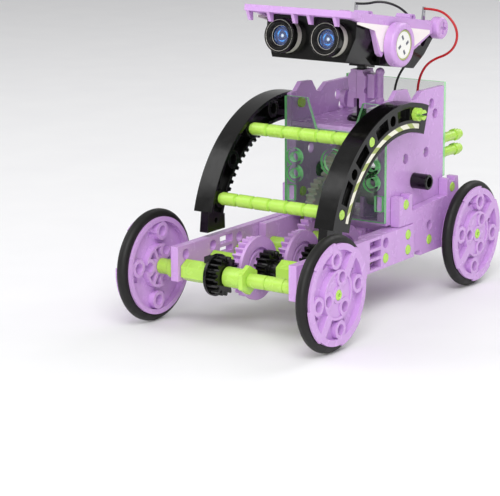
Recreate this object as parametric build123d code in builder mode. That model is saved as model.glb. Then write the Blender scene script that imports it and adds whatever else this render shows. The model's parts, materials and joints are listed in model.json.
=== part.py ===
from build123d import *
import os
from math import acos, atan2, cos, degrees, hypot, pi, radians, sin, sqrt, tan

# Four-wheeled solar robot built from snap-together kit pieces.
# Millimetres. +Z up, the floor is z = 0, the robot faces -Y and its left side is +X.
# The origin is on the floor, midway between the two wheel axles.

os.makedirs("parts", exist_ok=True)

# ---------------------------------------------------------------- driving sizes
# Pins, holes and fits
pin_r = 2.4                  # kit pins and axle rods
hole_clearance = 0.08        # round a pin or axle in its hole
hole_r = pin_r + hole_clearance
steel_r = 1.5                # small shafts inside the gearbox
push_fit = 0.05              # gap round a pin pushed into a piece of its own body
side_gap = 0.3               # end play between neighbours on a shaft
seat_gap = 0.2               # between a cover or tray and the casing that it fits in

# Wheels
wheel_r = 26.0               # over the tyre
tyre_section_r = 2.6
wheel_disc_r = 22.6
wheel_face_out = 3.9         # outer face, from the tyre's middle
wheel_face_in = 3.7          # inner face, from the tyre's middle
wheel_web_out = 2.6          # depth of the outer recess
wheel_web_in = 2.9           # depth of the inner recess
wheel_hub_r = 11.2
wheel_rim_r = 19.7           # inside of the rim
outer_holes_r = 16.0         # circle of the four outer pin holes
inner_holes_r = 8.0          # circle of the three inner pin holes
boss_wall = 1.7
wheelbase = 138.0
front_track = 96.2           # between the tyres' middles
rear_track = 82.8

# Side beams
beam_in = 30.0               # inner face, from the middle of the robot
beam_t = 4.0
beam_h = 16.0
beam_low = 21.5              # underside
hole_rise = 7.3              # upper row of holes above the axle row
front_beam_y = (-75.0, -29.5)
second_beam_y = (-29.5, 26.5)
tongue_len = 4.0

# Gear train
gear_pitch = 21.0            # between the crossing axles
pinion_teeth = 16
wheel_teeth = 26
drive_teeth = 20
cluster_teeth = 14
fine_teeth = 52
motor_teeth = 8
coarse_module = 1.0
fine_module = 0.5
backlash = 0.16

# Gearbox casing
case_half = 28.0             # outer face of each side plate
case_wall = 2.5
case_front = 10.5
case_rear = 64.0
case_low = 38.5
case_top = 98.6
floor_t = 2.0
cover_t = 2.0
shaft_y = 36.1               # output shaft
shaft_z = 56.2
shaft_r = 3.75
shaft_reach = 36.5
motor_r = 6.0
motor_drop = 20.0            # degrees below the output shaft

# Arches
arch_y = 11.0
arch_z = 32.5
arch_pin_r = 59.7
arch_out_r = 65.0
arch_in_r = 51.2
arch_side = (28.0, 38.0)
arch_web = 4.0
arch_first = -18.7           # degrees from straight up, forwards positive
arch_last = 75.0
arch_pin_first = -7.2
arch_pin_step = 18.75

# Head
head_y = 33.3                # neck axis
head_z = 110.0
head_pitch = 8.8             # degrees, nose up
head_half = 24.4
tub_wall = 2.0
roof_low = 20.4              # underside of the roof, above the neck top
roof_t = 3.4
roof_over = 2.6              # the roof stands this far beyond the box, each side
visor_over = 4.6             # and the visor this far
eye_x = 12.5
eye_rise = 10.7
hood_r = 8.1
ear_back = -17.8
ear_rise = 11.1
ear_r = 10.4

# Leads
lead_d = 1.2

axle_z = wheel_r
front_y = -wheelbase / 2
rear_y = wheelbase / 2
beam_out = beam_in + beam_t
beam_top = beam_low + beam_h
row_2 = axle_z + hole_rise
cover_front = case_front - cover_t
case_in = case_half - case_wall
frame_in = case_half + 0.2   # inner face of the rear side frames, above the base
frame_out = 33.0


# ---------------------------------------------------------------- shared shapes
def yz(x):
    """Plane across the robot at x: its own x is +Y, its own y is +Z, its normal is +X."""
    return Plane(origin=(x, 0, 0), x_dir=(0, 1, 0), z_dir=(1, 0, 0))


def save(part, name):
    """Label one finished sub-part and write it."""
    part.label = name
    export_step(part, f"parts/{name}.step")


def sides():
    """Left side, then right side."""
    return (("left", 1), ("right", -1))


def rod(x_a, x_b, y, z, r, dimple=0.0):
    """Rod along X with its ends eased, and a small centre mark in each end."""
    low, high = min(x_a, x_b), max(x_a, x_b)
    with BuildPart() as piece:
        with BuildSketch(yz(low)):
            with Locations((y, z)):
                Circle(r)
        extrude(amount=high - low)
        chamfer(piece.edges().filter_by(GeomType.CIRCLE), min(0.4, r / 5))
        if dimple:
            for end, way in ((low, 1), (high, -1)):
                with BuildSketch(yz(end)):
                    with Locations((y, z)):
                        Circle(dimple)
                extrude(amount=way * dimple, mode=Mode.SUBTRACT)
    return piece.part


def sleeve(x_a, x_b, y, z, r, bore_r, edge=0.3):
    """Tube along X."""
    low, high = min(x_a, x_b), max(x_a, x_b)
    with BuildPart() as piece:
        with BuildSketch(yz(low)):
            with Locations((y, z)):
                Circle(r)
        extrude(amount=high - low)
        chamfer(piece.edges().filter_by(GeomType.CIRCLE), edge)
        with BuildSketch(yz(low)):
            with Locations((y, z)):
                Circle(bore_r)
        extrude(amount=high - low, mode=Mode.SUBTRACT)
    return piece.part


def hex_sleeve(x_a, x_b, y, z, across, bore_r):
    """Six-sided tube along X, with flats facing up and down."""
    with BuildPart() as piece:
        with BuildSketch(yz(x_a)):
            with Locations((y, z)):
                RegularPolygon(across / 2, 6, major_radius=False, rotation=30)
                Circle(bore_r, mode=Mode.SUBTRACT)
        extrude(amount=x_b - x_a)
    return piece.part


def ribbed_sleeve(x_a, x_b, y, z, r, bore_r, pitch):
    """Tube along X with a shallow groove at each pitch."""
    with BuildPart() as piece:
        add(sleeve(x_a, x_b, y, z, r, bore_r))
        for i in range(1, int((x_b - x_a) / pitch + 0.5)):
            with BuildSketch(yz(x_a + i * pitch - 0.3)):
                with Locations((y, z)):
                    Circle(r + 1)
                    Circle(r - 0.35, mode=Mode.SUBTRACT)
            extrude(amount=0.6, mode=Mode.SUBTRACT)
    return piece.part


def gear_points(teeth, module):
    """Outline of an involute gear, 20 degrees, with a tooth on its own +X."""
    pressure = radians(20)
    pitch_r = module * teeth / 2
    base_r = pitch_r * cos(pressure)
    tip_r = pitch_r + 0.92 * module
    root_r = pitch_r - 1.2 * module
    half = pi / (2 * teeth) - backlash * module / (4 * pitch_r)

    def flank_angle(r):
        spread = tan(acos(min(1, base_r / r))) - acos(min(1, base_r / r))
        return half + tan(pressure) - pressure - spread

    start_r = max(base_r, root_r + 0.15 * module)
    radii = [start_r + (tip_r - start_r) * t for t in (0, 0.3, 0.65, 1)]
    root_angle = flank_angle(start_r) + 0.3 * (pi / teeth - flank_angle(start_r))
    points = []
    for tooth in range(teeth):
        middle = 2 * pi * tooth / teeth
        rise = [(root_r, root_angle)] + [(r, flank_angle(r)) for r in radii]
        for r, a in rise:
            points.append((r * cos(middle - a), r * sin(middle - a)))
        for r, a in reversed(rise):
            points.append((r * cos(middle + a), r * sin(middle + a)))
    return points


def gear(x_a, x_b, y, z, teeth, module, bore_r, turn):
    """Spur gear along X, turned so that a tooth points `turn` degrees from +Y towards +Z."""
    with BuildSketch() as outline:
        with BuildLine():
            Polyline(*gear_points(teeth, module), close=True)
        make_face()
        if bore_r:
            Circle(bore_r, mode=Mode.SUBTRACT)
    with BuildPart() as piece:
        with BuildSketch(yz(x_a)):
            with Locations(Location((y, z, 0), (0, 0, turn))):
                add(outline.sketch)
        extrude(amount=x_b - x_a)
    return piece.part


def disc(x_a, x_b, y, z, r, bore_r):
    """Plain ring along X."""
    with BuildPart() as piece:
        with BuildSketch(yz(x_a)):
            with Locations((y, z)):
                Circle(r)
                Circle(bore_r, mode=Mode.SUBTRACT)
        extrude(amount=x_b - x_a)
    return piece.part


def forked_pin(x_a, x_b, y, z, way, tip=5.0):
    """Snap pin along X from x_a to x_b, with a head and a split tip at x_b."""
    with BuildPart() as piece:
        with BuildSketch(yz(x_a)):
            with Locations((y, z)):
                Circle(pin_r)
        extrude(amount=x_b - x_a)
        with BuildSketch(yz(x_b - way * tip)):
            with Locations((y, z)):
                Circle(pin_r + 0.7)
        extrude(amount=way * tip * 0.55)
        with BuildSketch(yz(x_b - way * tip * 0.6)):
            with Locations((y, z)):
                Rectangle(pin_r * 3, 1.4)
        extrude(amount=way * tip, mode=Mode.SUBTRACT)
    return piece.part


# ---------------------------------------------------------------- wheels and tyres
# One disc is made about the origin, facing +X with its first outer hole on +Y, then placed.
outer_places = PolarLocations(outer_holes_r, 4)
inner_places = PolarLocations(inner_holes_r, 3, start_angle=-27)
disc_back = Plane(origin=(-wheel_face_in, 0, 0), x_dir=(0, 1, 0), z_dir=(1, 0, 0))
disc_face = Plane(origin=(wheel_face_out, 0, 0), x_dir=(0, 1, 0), z_dir=(1, 0, 0))
disc_width = wheel_face_out + wheel_face_in
with BuildPart() as wheel_blank:
    with BuildSketch(disc_back):
        Circle(wheel_disc_r)
    extrude(amount=disc_width)
    # recess round the hub, outer face, with four bosses and two full-height lands
    with BuildSketch(disc_face):
        Circle(wheel_rim_r)
        Circle(wheel_hub_r, mode=Mode.SUBTRACT)
        with outer_places:
            Circle(hole_r + boss_wall, mode=Mode.SUBTRACT)
        with PolarLocations(15.5, 2, start_angle=-45):
            Rectangle(9, 4.5, mode=Mode.SUBTRACT)
    extrude(amount=-wheel_web_out, mode=Mode.SUBTRACT)
    # shallow pads between the hub's three holes
    with BuildSketch(disc_face):
        Circle(wheel_hub_r - 1.2)
        Circle(pin_r + 1.5, mode=Mode.SUBTRACT)
        with inner_places:
            Circle(hole_r + boss_wall, mode=Mode.SUBTRACT)
    extrude(amount=-0.6, mode=Mode.SUBTRACT)
    # recess of the inner face, with a ring of bosses
    with BuildSketch(disc_back):
        Circle(wheel_rim_r + 0.6)
        Circle(wheel_hub_r - 1.0, mode=Mode.SUBTRACT)
        with outer_places:
            Circle(hole_r + boss_wall, mode=Mode.SUBTRACT)
    extrude(amount=wheel_web_in, mode=Mode.SUBTRACT)
    with BuildSketch(disc_back):
        Circle(wheel_hub_r - 2.4)
        Circle(pin_r + 2.0, mode=Mode.SUBTRACT)
        with inner_places:
            Circle(hole_r + boss_wall, mode=Mode.SUBTRACT)
        with PolarLocations(6.5, 3, start_angle=33):
            Rectangle(9, 1.6, mode=Mode.SUBTRACT)
    extrude(amount=wheel_web_in + 1.2, mode=Mode.SUBTRACT)
    # wedge windows through the web, the pin holes and the axle bore
    with BuildSketch(disc_back):
        Circle(pin_r + push_fit)
        with PolarLocations(outer_holes_r, 4, start_angle=21):
            RegularPolygon(2.3, 3)
        with outer_places:
            Circle(hole_r)
        with inner_places:
            Circle(hole_r)
    extrude(amount=disc_width, mode=Mode.SUBTRACT)
    # groove that the tyre sits in
    with BuildSketch(Plane.XZ):
        with Locations((0, wheel_r - tyre_section_r)):
            Circle(tyre_section_r + push_fit)
    revolve(axis=Axis.X, mode=Mode.SUBTRACT)
    # tabs that keep the tyre on
    with BuildSketch(disc_face):
        for start in (0, 90, 180, 270):
            with BuildLine():
                a = CenterArc((0, 0), wheel_disc_r + 0.9, start, 45)
                b = CenterArc((0, 0), wheel_disc_r - 0.8, start, 45)
                Line(a @ 0, b @ 0)
                Line(a @ 1, b @ 1)
            make_face()
    extrude(amount=-(wheel_face_out - tyre_section_r - 0.3))

with BuildPart() as tyre_blank:
    with BuildSketch(Plane.XZ):
        with Locations((0, wheel_r - tyre_section_r)):
            Circle(tyre_section_r)
    revolve(axis=Axis.X)

wheel_table = (
    ("front_left", front_y, front_track / 2, 1, 96.5),
    ("front_right", front_y, front_track / 2, -1, 84.0),
    ("rear_left", rear_y, rear_track / 2, 1, 81.8),
    ("rear_right", rear_y, rear_track / 2, -1, 98.0),
)
for name, wheel_y, middle, side, turn in wheel_table:
    place = Location((side * middle, wheel_y, axle_z))
    disc_part = wheel_blank.part.rotate(Axis.X, turn)
    if side < 0:
        disc_part = disc_part.mirror(Plane.YZ)
    with BuildPart() as wheel:
        add(disc_part.moved(place))
    save(wheel.part, f"{name}_wheel")
    with BuildPart() as tyre:
        add(tyre_blank.part.moved(place))
    save(tyre.part, f"{name}_tyre")


# ---------------------------------------------------------------- axles and gear train
axle_2 = front_y + gear_pitch
axle_3 = axle_2 + gear_pitch
axle_4 = axle_3 + gear_pitch
axle_5 = axle_4 + gear_pitch
tube_bore = pin_r + push_fit
front_tip = front_track / 2 + wheel_face_out + 0.3
rear_tip = rear_track / 2 + wheel_face_out + 0.3
wheel_back_front = front_track / 2 - wheel_face_in - 0.2
wheel_back_rear = rear_track / 2 - wheel_face_in - 0.2
beam_gap_in = beam_in - side_gap
beam_gap_out = beam_out + side_gap
flange_x = -13.6                               # right face of the front pinion
pinion_end = -7.4                              # its left face
pinion_turn = 0.0                              # a tooth forwards and one rearwards
wheel_turn = 180 / wheel_teeth                 # a gap forwards and one rearwards

# each axle node holds its rod and the loose green sleeves threaded on it
with BuildPart() as front_axle:
    add(rod(-front_tip, front_tip, front_y, axle_z, pin_r, 0.9))
    for _, side in sides():
        add(sleeve(side * beam_gap_out, side * 38.0, front_y, axle_z, 4.6, tube_bore))
        add(sleeve(side * 38.1, side * wheel_back_front, front_y, axle_z, 3.6, tube_bore))
    add(hex_sleeve(-beam_gap_in, flange_x - side_gap, front_y, axle_z, 8.8, tube_bore))
    add(sleeve(pinion_end + side_gap, 3.0, front_y, axle_z, 4.6, tube_bore))
    add(hex_sleeve(3.1, 5.3, front_y, axle_z, 11.6, tube_bore))
    add(ribbed_sleeve(5.4, beam_gap_in, front_y, axle_z, 3.3, tube_bore, 9.6))
save(front_axle.part, "front_axle")

# crossing pinion on the front axle, with its flange and catch
with BuildPart() as front_pinion:
    add(gear(flange_x + 1.4, pinion_end, front_y, axle_z, pinion_teeth, coarse_module, tube_bore,
             pinion_turn))
    add(disc(flange_x, flange_x + 1.4, front_y, axle_z, 9.6, tube_bore))
    with BuildSketch(yz(flange_x)):
        with Locations((front_y, axle_z + 6.6)):
            Rectangle(4.4, 3.0)
    extrude(amount=-4.6)
save(front_pinion.part, "front_pinion")


def train_wheel(teeth_x, flange_x, hub_x, y):
    """Large train gear with a flange on one face, a sunk ring, slots and a hub."""
    low, high = teeth_x
    with BuildPart() as piece:
        add(gear(low, high, y, axle_z, wheel_teeth, coarse_module, tube_bore, wheel_turn))
        add(disc(flange_x[0], flange_x[1], y, axle_z, 14.7, tube_bore))
        with BuildSketch(yz(flange_x[1])):
            with Locations((y, axle_z)):
                Circle(9.6)
                Circle(8.2, mode=Mode.SUBTRACT)
        extrude(amount=-1.2, mode=Mode.SUBTRACT)
        with BuildSketch(yz(low)):
            with Locations((y, axle_z)):
                with PolarLocations(6.4, 6):
                    SlotOverall(3.2, 1.3, rotation=90)
        extrude(amount=flange_x[1] - low, mode=Mode.SUBTRACT)
        add(disc(flange_x[1], hub_x, y, axle_z, 4.9, tube_bore))
    return piece.part


with BuildPart() as second_gear:
    add(train_wheel((-11.0, -5.6), (-5.6, -4.0), -1.8, axle_2))
save(second_gear.part, "second_axle_gear")

with BuildPart() as second_pinion:
    add(gear(-1.5, 4.2, axle_2, axle_z, pinion_teeth, coarse_module, tube_bore, pinion_turn))
    add(disc(4.2, 8.0, axle_2, axle_z, 5.0, tube_bore))
save(second_pinion.part, "second_axle_pinion")

with BuildPart() as third_gear:
    add(train_wheel((0.0, 4.6), (4.6, 6.2), 8.8, axle_3))
save(third_gear.part, "third_axle_gear")

with BuildPart() as third_pinion:
    add(gear(9.1, 13.9, axle_3, axle_z, pinion_teeth, coarse_module, tube_bore, pinion_turn))
save(third_pinion.part, "third_axle_pinion")

with BuildPart() as second_axle:
    add(rod(-beam_out + 0.4, beam_out - 0.4, axle_2, axle_z, pin_r, 0.9))
    add(hex_sleeve(-beam_gap_in, -11.3, axle_2, axle_z, 8.8, tube_bore))
    add(hex_sleeve(8.3, beam_gap_in, axle_2, axle_z, 9.8, tube_bore))
save(second_axle.part, "second_axle")

with BuildPart() as third_axle:
    add(rod(-beam_out + 0.4, beam_out - 0.4, axle_3, axle_z, pin_r, 0.9))
    add(hex_sleeve(-beam_gap_in, -0.3, axle_3, axle_z, 8.8, tube_bore))
    add(sleeve(14.2, beam_gap_in, axle_3, axle_z, 4.6, tube_bore))
save(third_axle.part, "third_axle")

# fourth and fifth axles turn in the arms of the base
arm_in = 25.7
arm_t = 4.0
arm_end_gap = 0.3
with BuildPart() as fourth_axle:
    add(rod(-arm_in - arm_t + 0.3, arm_in + arm_t - 0.3, axle_4, axle_z, pin_r, 0.9))
    add(sleeve(-arm_in + arm_end_gap, 9.2, axle_4, axle_z, 4.2, pin_r - 0.2))
    add(sleeve(16.1, arm_in - arm_end_gap, axle_4, axle_z, 4.2, pin_r - 0.2))
save(fourth_axle.part, "fourth_axle")

with BuildPart() as fourth_gear:
    add(train_wheel((9.5, 14.2), (14.2, 15.7), 16.0, axle_4))
save(fourth_gear.part, "fourth_axle_gear")

# fifth axle: one pinion drives the train, one gear meets the gearbox idler
idler_to_shaft = coarse_module * (drive_teeth + cluster_teeth) / 2
idler_to_axle = coarse_module * drive_teeth
span_y = shaft_y - axle_5
span_z = shaft_z - axle_z
span = hypot(span_y, span_z)
along = (idler_to_axle ** 2 - idler_to_shaft ** 2 + span ** 2) / (2 * span)
aside = sqrt(max(0.0, idler_to_axle ** 2 - along ** 2))
idler_y = axle_5 + (along * span_y - aside * span_z) / span
idler_z = axle_z + (along * span_z + aside * span_y) / span
to_idler = degrees(atan2(idler_z - axle_z, idler_y - axle_5))
to_shaft = degrees(atan2(shaft_z - idler_z, shaft_y - idler_y))
drive_lane = (-20.0, -15.5)  # where the fifth axle, the idler and the shaft mesh
fine_lane = (-14.0, -9.5)    # where the motor meets the shaft

with BuildPart() as fifth_axle:
    add(rod(-arm_in - arm_t + 0.3, arm_in + arm_t - 0.3, axle_5, axle_z, pin_r, 0.9))
    add(sleeve(drive_lane[1] + side_gap, 8.9, axle_5, axle_z, 4.2, pin_r - 0.2))
save(fifth_axle.part, "fifth_axle")

with BuildPart() as fifth_gears:
    add(gear(9.2, 13.9, axle_5, axle_z, pinion_teeth, coarse_module, tube_bore, pinion_turn))
    add(gear(*drive_lane, axle_5, axle_z, drive_teeth, coarse_module, tube_bore, to_idler))
save(fifth_gears.part, "fifth_axle_gears")

# the idler has a gap towards the fifth axle and is turned by whole teeth after that
idler_turn = to_idler + 180 + 180 / drive_teeth
with BuildPart() as idler:
    add(gear(*drive_lane, idler_y, idler_z, drive_teeth, coarse_module, steel_r - 0.1, idler_turn))
    add(rod(-case_half + 0.3, 0.0, idler_y, idler_z, steel_r))
save(idler.part, "idler_gear")

# tooth phase of the idler where it meets the output shaft, carried on to the cluster
idler_pitch = 360 / drive_teeth
cluster_pitch = 360 / cluster_teeth
idler_phase = ((to_shaft - idler_turn) / idler_pitch) % 1
cluster_turn = to_shaft + 180 + cluster_pitch * (0.5 + idler_phase)
with BuildPart() as cluster:
    add(gear(*drive_lane, shaft_y, shaft_z, cluster_teeth, coarse_module, 0, cluster_turn))
    add(gear(*fine_lane, shaft_y, shaft_z, fine_teeth, fine_module, 0, 0))
    add(rod(drive_lane[0] + 1.0, fine_lane[1] - 1.0, shaft_y, shaft_z, 5.4))
    with BuildSketch(yz(drive_lane[0])):
        with Locations((shaft_y, shaft_z)):
            Circle(shaft_r + push_fit)
    extrude(amount=fine_lane[1] - drive_lane[0], mode=Mode.SUBTRACT)
save(cluster.part, "output_gears")

with BuildPart() as output_shaft:
    add(rod(-shaft_reach, shaft_reach, shaft_y, shaft_z, shaft_r))
    for _, side in sides():
        with BuildSketch(yz(side * shaft_reach)):
            with Locations((shaft_y, shaft_z)):
                Circle(hole_r)
        extrude(amount=-side * 8.0, mode=Mode.SUBTRACT)
save(output_shaft.part, "output_shaft")

# motor, its fine pinion and its cradle
motor_span = fine_module * (fine_teeth + motor_teeth) / 2
motor_angle = 180 + motor_drop
motor_y = shaft_y + motor_span * cos(radians(motor_angle))
motor_z = shaft_z + motor_span * sin(radians(motor_angle))
fine_pitch = 360 / fine_teeth
fine_phase = (motor_angle / fine_pitch) % 1
motor_turn = motor_angle + 180 + 360 / motor_teeth * (0.5 + fine_phase)
motor_x = (-8.0, 18.0)
motor_boss = 1.1
motor_shaft_r = 0.75
with BuildPart() as motor_pinion:
    add(rod(fine_lane[0] - 0.3, motor_x[0] + 4.0, motor_y, motor_z, motor_shaft_r))
    add(gear(fine_lane[0], fine_lane[1] - 0.2, motor_y, motor_z, motor_teeth, fine_module,
             motor_shaft_r - 0.1, motor_turn))
save(motor_pinion.part, "motor_pinion")

with BuildPart() as motor:
    with BuildSketch(yz(motor_x[0])) as can:
        with Locations((motor_y, motor_z)):
            Circle(motor_r)
            Rectangle(2 * motor_r, 1.7 * motor_r, mode=Mode.INTERSECT)
    extrude(amount=motor_x[1] - motor_x[0])
    fillet(motor.faces().sort_by(Axis.X)[-1].edges(), 0.6)
    with BuildSketch(yz(motor_x[0])):
        with Locations((motor_y, motor_z)):
            Circle(2.4)
    extrude(amount=-motor_boss)
    with BuildSketch(yz(motor_x[0] - motor_boss)):
        with Locations((motor_y, motor_z)):
            Circle(motor_shaft_r + hole_clearance)
    extrude(amount=6.0, mode=Mode.SUBTRACT)
save(motor.part, "motor")

with BuildPart() as rear_axle:
    add(rod(-rear_tip, rear_tip, rear_y, axle_z, pin_r, 0.9))
    add(sleeve(-22, 22, rear_y, axle_z, 3.4, pin_r - 0.2))
    for _, side in sides():
        add(sleeve(side * 33.4, side * wheel_back_rear, rear_y, axle_z, 3.8, pin_r - 0.2))
save(rear_axle.part, "rear_axle")


# ---------------------------------------------------------------- side beams and base
def side_plate(x_in, thickness, side, outline, holes, hole_radius):
    """Flat plate in the YZ plane with round holes; x_in is its inner face."""
    with BuildPart() as plate:
        with BuildSketch(yz(side * x_in)):
            with BuildLine():
                Polyline(*outline, close=True)
            make_face()
            with Locations(*holes):
                Circle(hole_radius, mode=Mode.SUBTRACT)
        extrude(amount=side * thickness)
    return plate.part


def box_outline(y_a, y_b, z_a, z_b):
    """Four corners of a rectangle in the YZ plane."""
    return ((y_a, z_a), (y_b, z_a), (y_b, z_b), (y_a, z_b))


def slotted_window(x_in, thickness, side, y_a, y_b):
    """Window through a beam with two slats left across it."""
    low = beam_low + 1.4
    high = beam_top - 1.4
    slat = 1.4
    step = (high - low) / 3
    with BuildPart() as cut:
        with BuildSketch(yz(side * x_in)):
            with Locations(((y_a + y_b) / 2, (low + high) / 2)):
                Rectangle(y_b - y_a, high - low)
            for i in (1, 2):
                with Locations(((y_a + y_b) / 2, low + i * step)):
                    Rectangle(y_b - y_a, slat, mode=Mode.SUBTRACT)
        extrude(amount=side * thickness)
    return cut.part


base_pin_y = 20.9                 # where the beams are pinned to the base
beam_middle = sum(second_beam_y) / 2
second_hole_off = 1.9             # single hole pair, either side of the beam's middle
second_window = (2.3, 12.3)       # window, from the beam's middle
front_window = (-42.6, -32.4)
tongue_rise = (axle_z + row_2) / 2
for name, side in sides():
    front_holes = [(y, z) for y in (front_y, axle_2) for z in (axle_z, row_2)]
    with BuildPart() as front_beam:
        add(side_plate(beam_in, beam_t, side, box_outline(*front_beam_y, beam_low, beam_top),
                       front_holes, hole_r))
        add(slotted_window(beam_in, beam_t, side, *front_window), mode=Mode.SUBTRACT)
        with BuildSketch(yz(side * (beam_in + beam_t / 2))):
            with Locations((front_beam_y[1] - 1.0 + tongue_len / 2, tongue_rise)):
                Rectangle(tongue_len + 2.0, 1.7)
        extrude(amount=1.0, both=True)
    save(front_beam.part, f"front_beam_{name}")

    # the second beam is the same moulding on both sides, turned end for end
    flip = side
    single_y = beam_middle + flip * second_hole_off
    window_y = sorted((beam_middle - flip * second_window[0], beam_middle - flip * second_window[1]))
    second_holes = [(y, z) for y in (axle_3, single_y, base_pin_y) for z in (axle_z, row_2)]
    with BuildPart() as second_beam:
        add(side_plate(beam_in, beam_t, side, box_outline(*second_beam_y, beam_low, beam_top),
                       second_holes, hole_r))
        add(slotted_window(beam_in, beam_t, side, *window_y), mode=Mode.SUBTRACT)
        with BuildSketch(yz(side * (beam_in + beam_t / 2))):
            with Locations((second_beam_y[0] + tongue_len / 2, tongue_rise)):
                Rectangle(tongue_len + 2.2, 1.7 + 2 * push_fit)
        extrude(amount=1.0 + push_fit, both=True, mode=Mode.SUBTRACT)
    save(second_beam.part, f"second_beam_{name}")

# arms of the base carry the fourth and fifth axles and are pinned inside the second beams
arm_y = (-11.0, 46.0)
arm_z = (22.0, 37.2)
left_pin_y = beam_middle + second_hole_off
# rear side frames: lower wall, ledge and the two forked blocks that hold the gearbox
block_pins = ((20.4, 47.7), (65.0, 48.8))
low_wall_end = 74.0
frame_outline = (
    (14.2, beam_top + 0.2), (14.2, 52.0), (17.6, 52.0), (17.6, 50.4), (23.2, 50.4), (23.2, 52.0),
    (26.2, 52.0), (26.2, 43.6), (60.0, 45.4), (60.0, 53.6), (62.2, 53.6), (62.2, 51.6),
    (67.8, 51.6), (67.8, 53.6), (70.6, 53.6), (72.0, 42.0), (low_wall_end, 40.0),
    (low_wall_end, 22.5), (66.0, 20.5), (34.2, 20.5), (34.2, 23.2), (26.8, 23.2),
    (26.8, beam_top + 0.2),
)
wall_in = arm_in + arm_t + 0.1
for name, side in sides():
    frame_holes = [*block_pins, (rear_y, axle_z), (42.7, axle_z + 0.7), (42.7, row_2 + 0.5)]
    with BuildPart() as side_frame:
        add(side_plate(wall_in, frame_out - wall_in, side, frame_outline, frame_holes, hole_r))
        # above the base the plate thickens inwards to meet the gearbox casing
        with BuildSketch(yz(side * frame_in)):
            with BuildLine():
                Polyline(*[(y, max(z, beam_top + 0.2)) for y, z in frame_outline[:15]],
                         (72.0, beam_top + 0.2), close=True)
            make_face()
            with Locations(*block_pins):
                Circle(hole_r, mode=Mode.SUBTRACT)
        extrude(amount=side * (wall_in - frame_in))
    save(side_frame.part, f"rear_side_frame_{name}")

# base frame: two arms tied together under the gearbox by a deck, a bar and a cross wall
deck_y = (42.0, 66.0)
deck_t = 2.4
rear_pin_at = (42.7, axle_z + 0.7)
rear_hole_at = (42.7, row_2 + 0.5)
with BuildPart() as base_frame:
    for _, side in sides():
        arm_holes = [(axle_4, axle_z), (axle_5, axle_z), (base_pin_y, axle_z), (base_pin_y, row_2)]
        arm_holes += [rear_pin_at, rear_hole_at]
        if side > 0:
            arm_holes.append((left_pin_y, axle_z))
        add(side_plate(arm_in, arm_t, side, box_outline(*arm_y, *arm_z), arm_holes, hole_r))
    with BuildSketch(Plane.XY.offset(case_low - deck_t)):
        with Locations((0, sum(deck_y) / 2)):
            Rectangle(2 * frame_in, deck_y[1] - deck_y[0])
            with GridLocations(24, 0, 2, 1):
                SlotOverall(14, 4, rotation=90, mode=Mode.SUBTRACT)
    extrude(amount=deck_t)
    with BuildSketch(Plane.XY.offset(beam_low)):
        with Locations((0, 50.0)):
            Rectangle(2 * (arm_in + arm_t), 8.0)
    extrude(amount=2.0)
    with BuildSketch(Plane.XZ.offset(-52)):
        with Locations((0, 29.5)):
            Rectangle(2 * arm_in, 16.0)
    extrude(amount=-deck_t)
save(base_frame.part, "base_frame")

with BuildPart() as frame_pins:
    for _, side in sides():
        for z in (axle_z, row_2):
            add(rod(side * (arm_in + 0.2), side * (beam_out + 0.3), base_pin_y, z, pin_r))
        add(rod(side * (arm_in + 0.2), side * (frame_out + 0.3), *rear_pin_at, pin_r))
        for (y, z), start_x in zip(block_pins, (case_in - 1.0, frame_in + 0.1)):
            add(rod(side * start_x, side * (frame_out + 0.3), y, z, pin_r))
    add(rod(arm_in + 0.2, beam_out + 0.3, left_pin_y, axle_z, pin_r))
save(frame_pins.part, "frame_pins")


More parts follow.
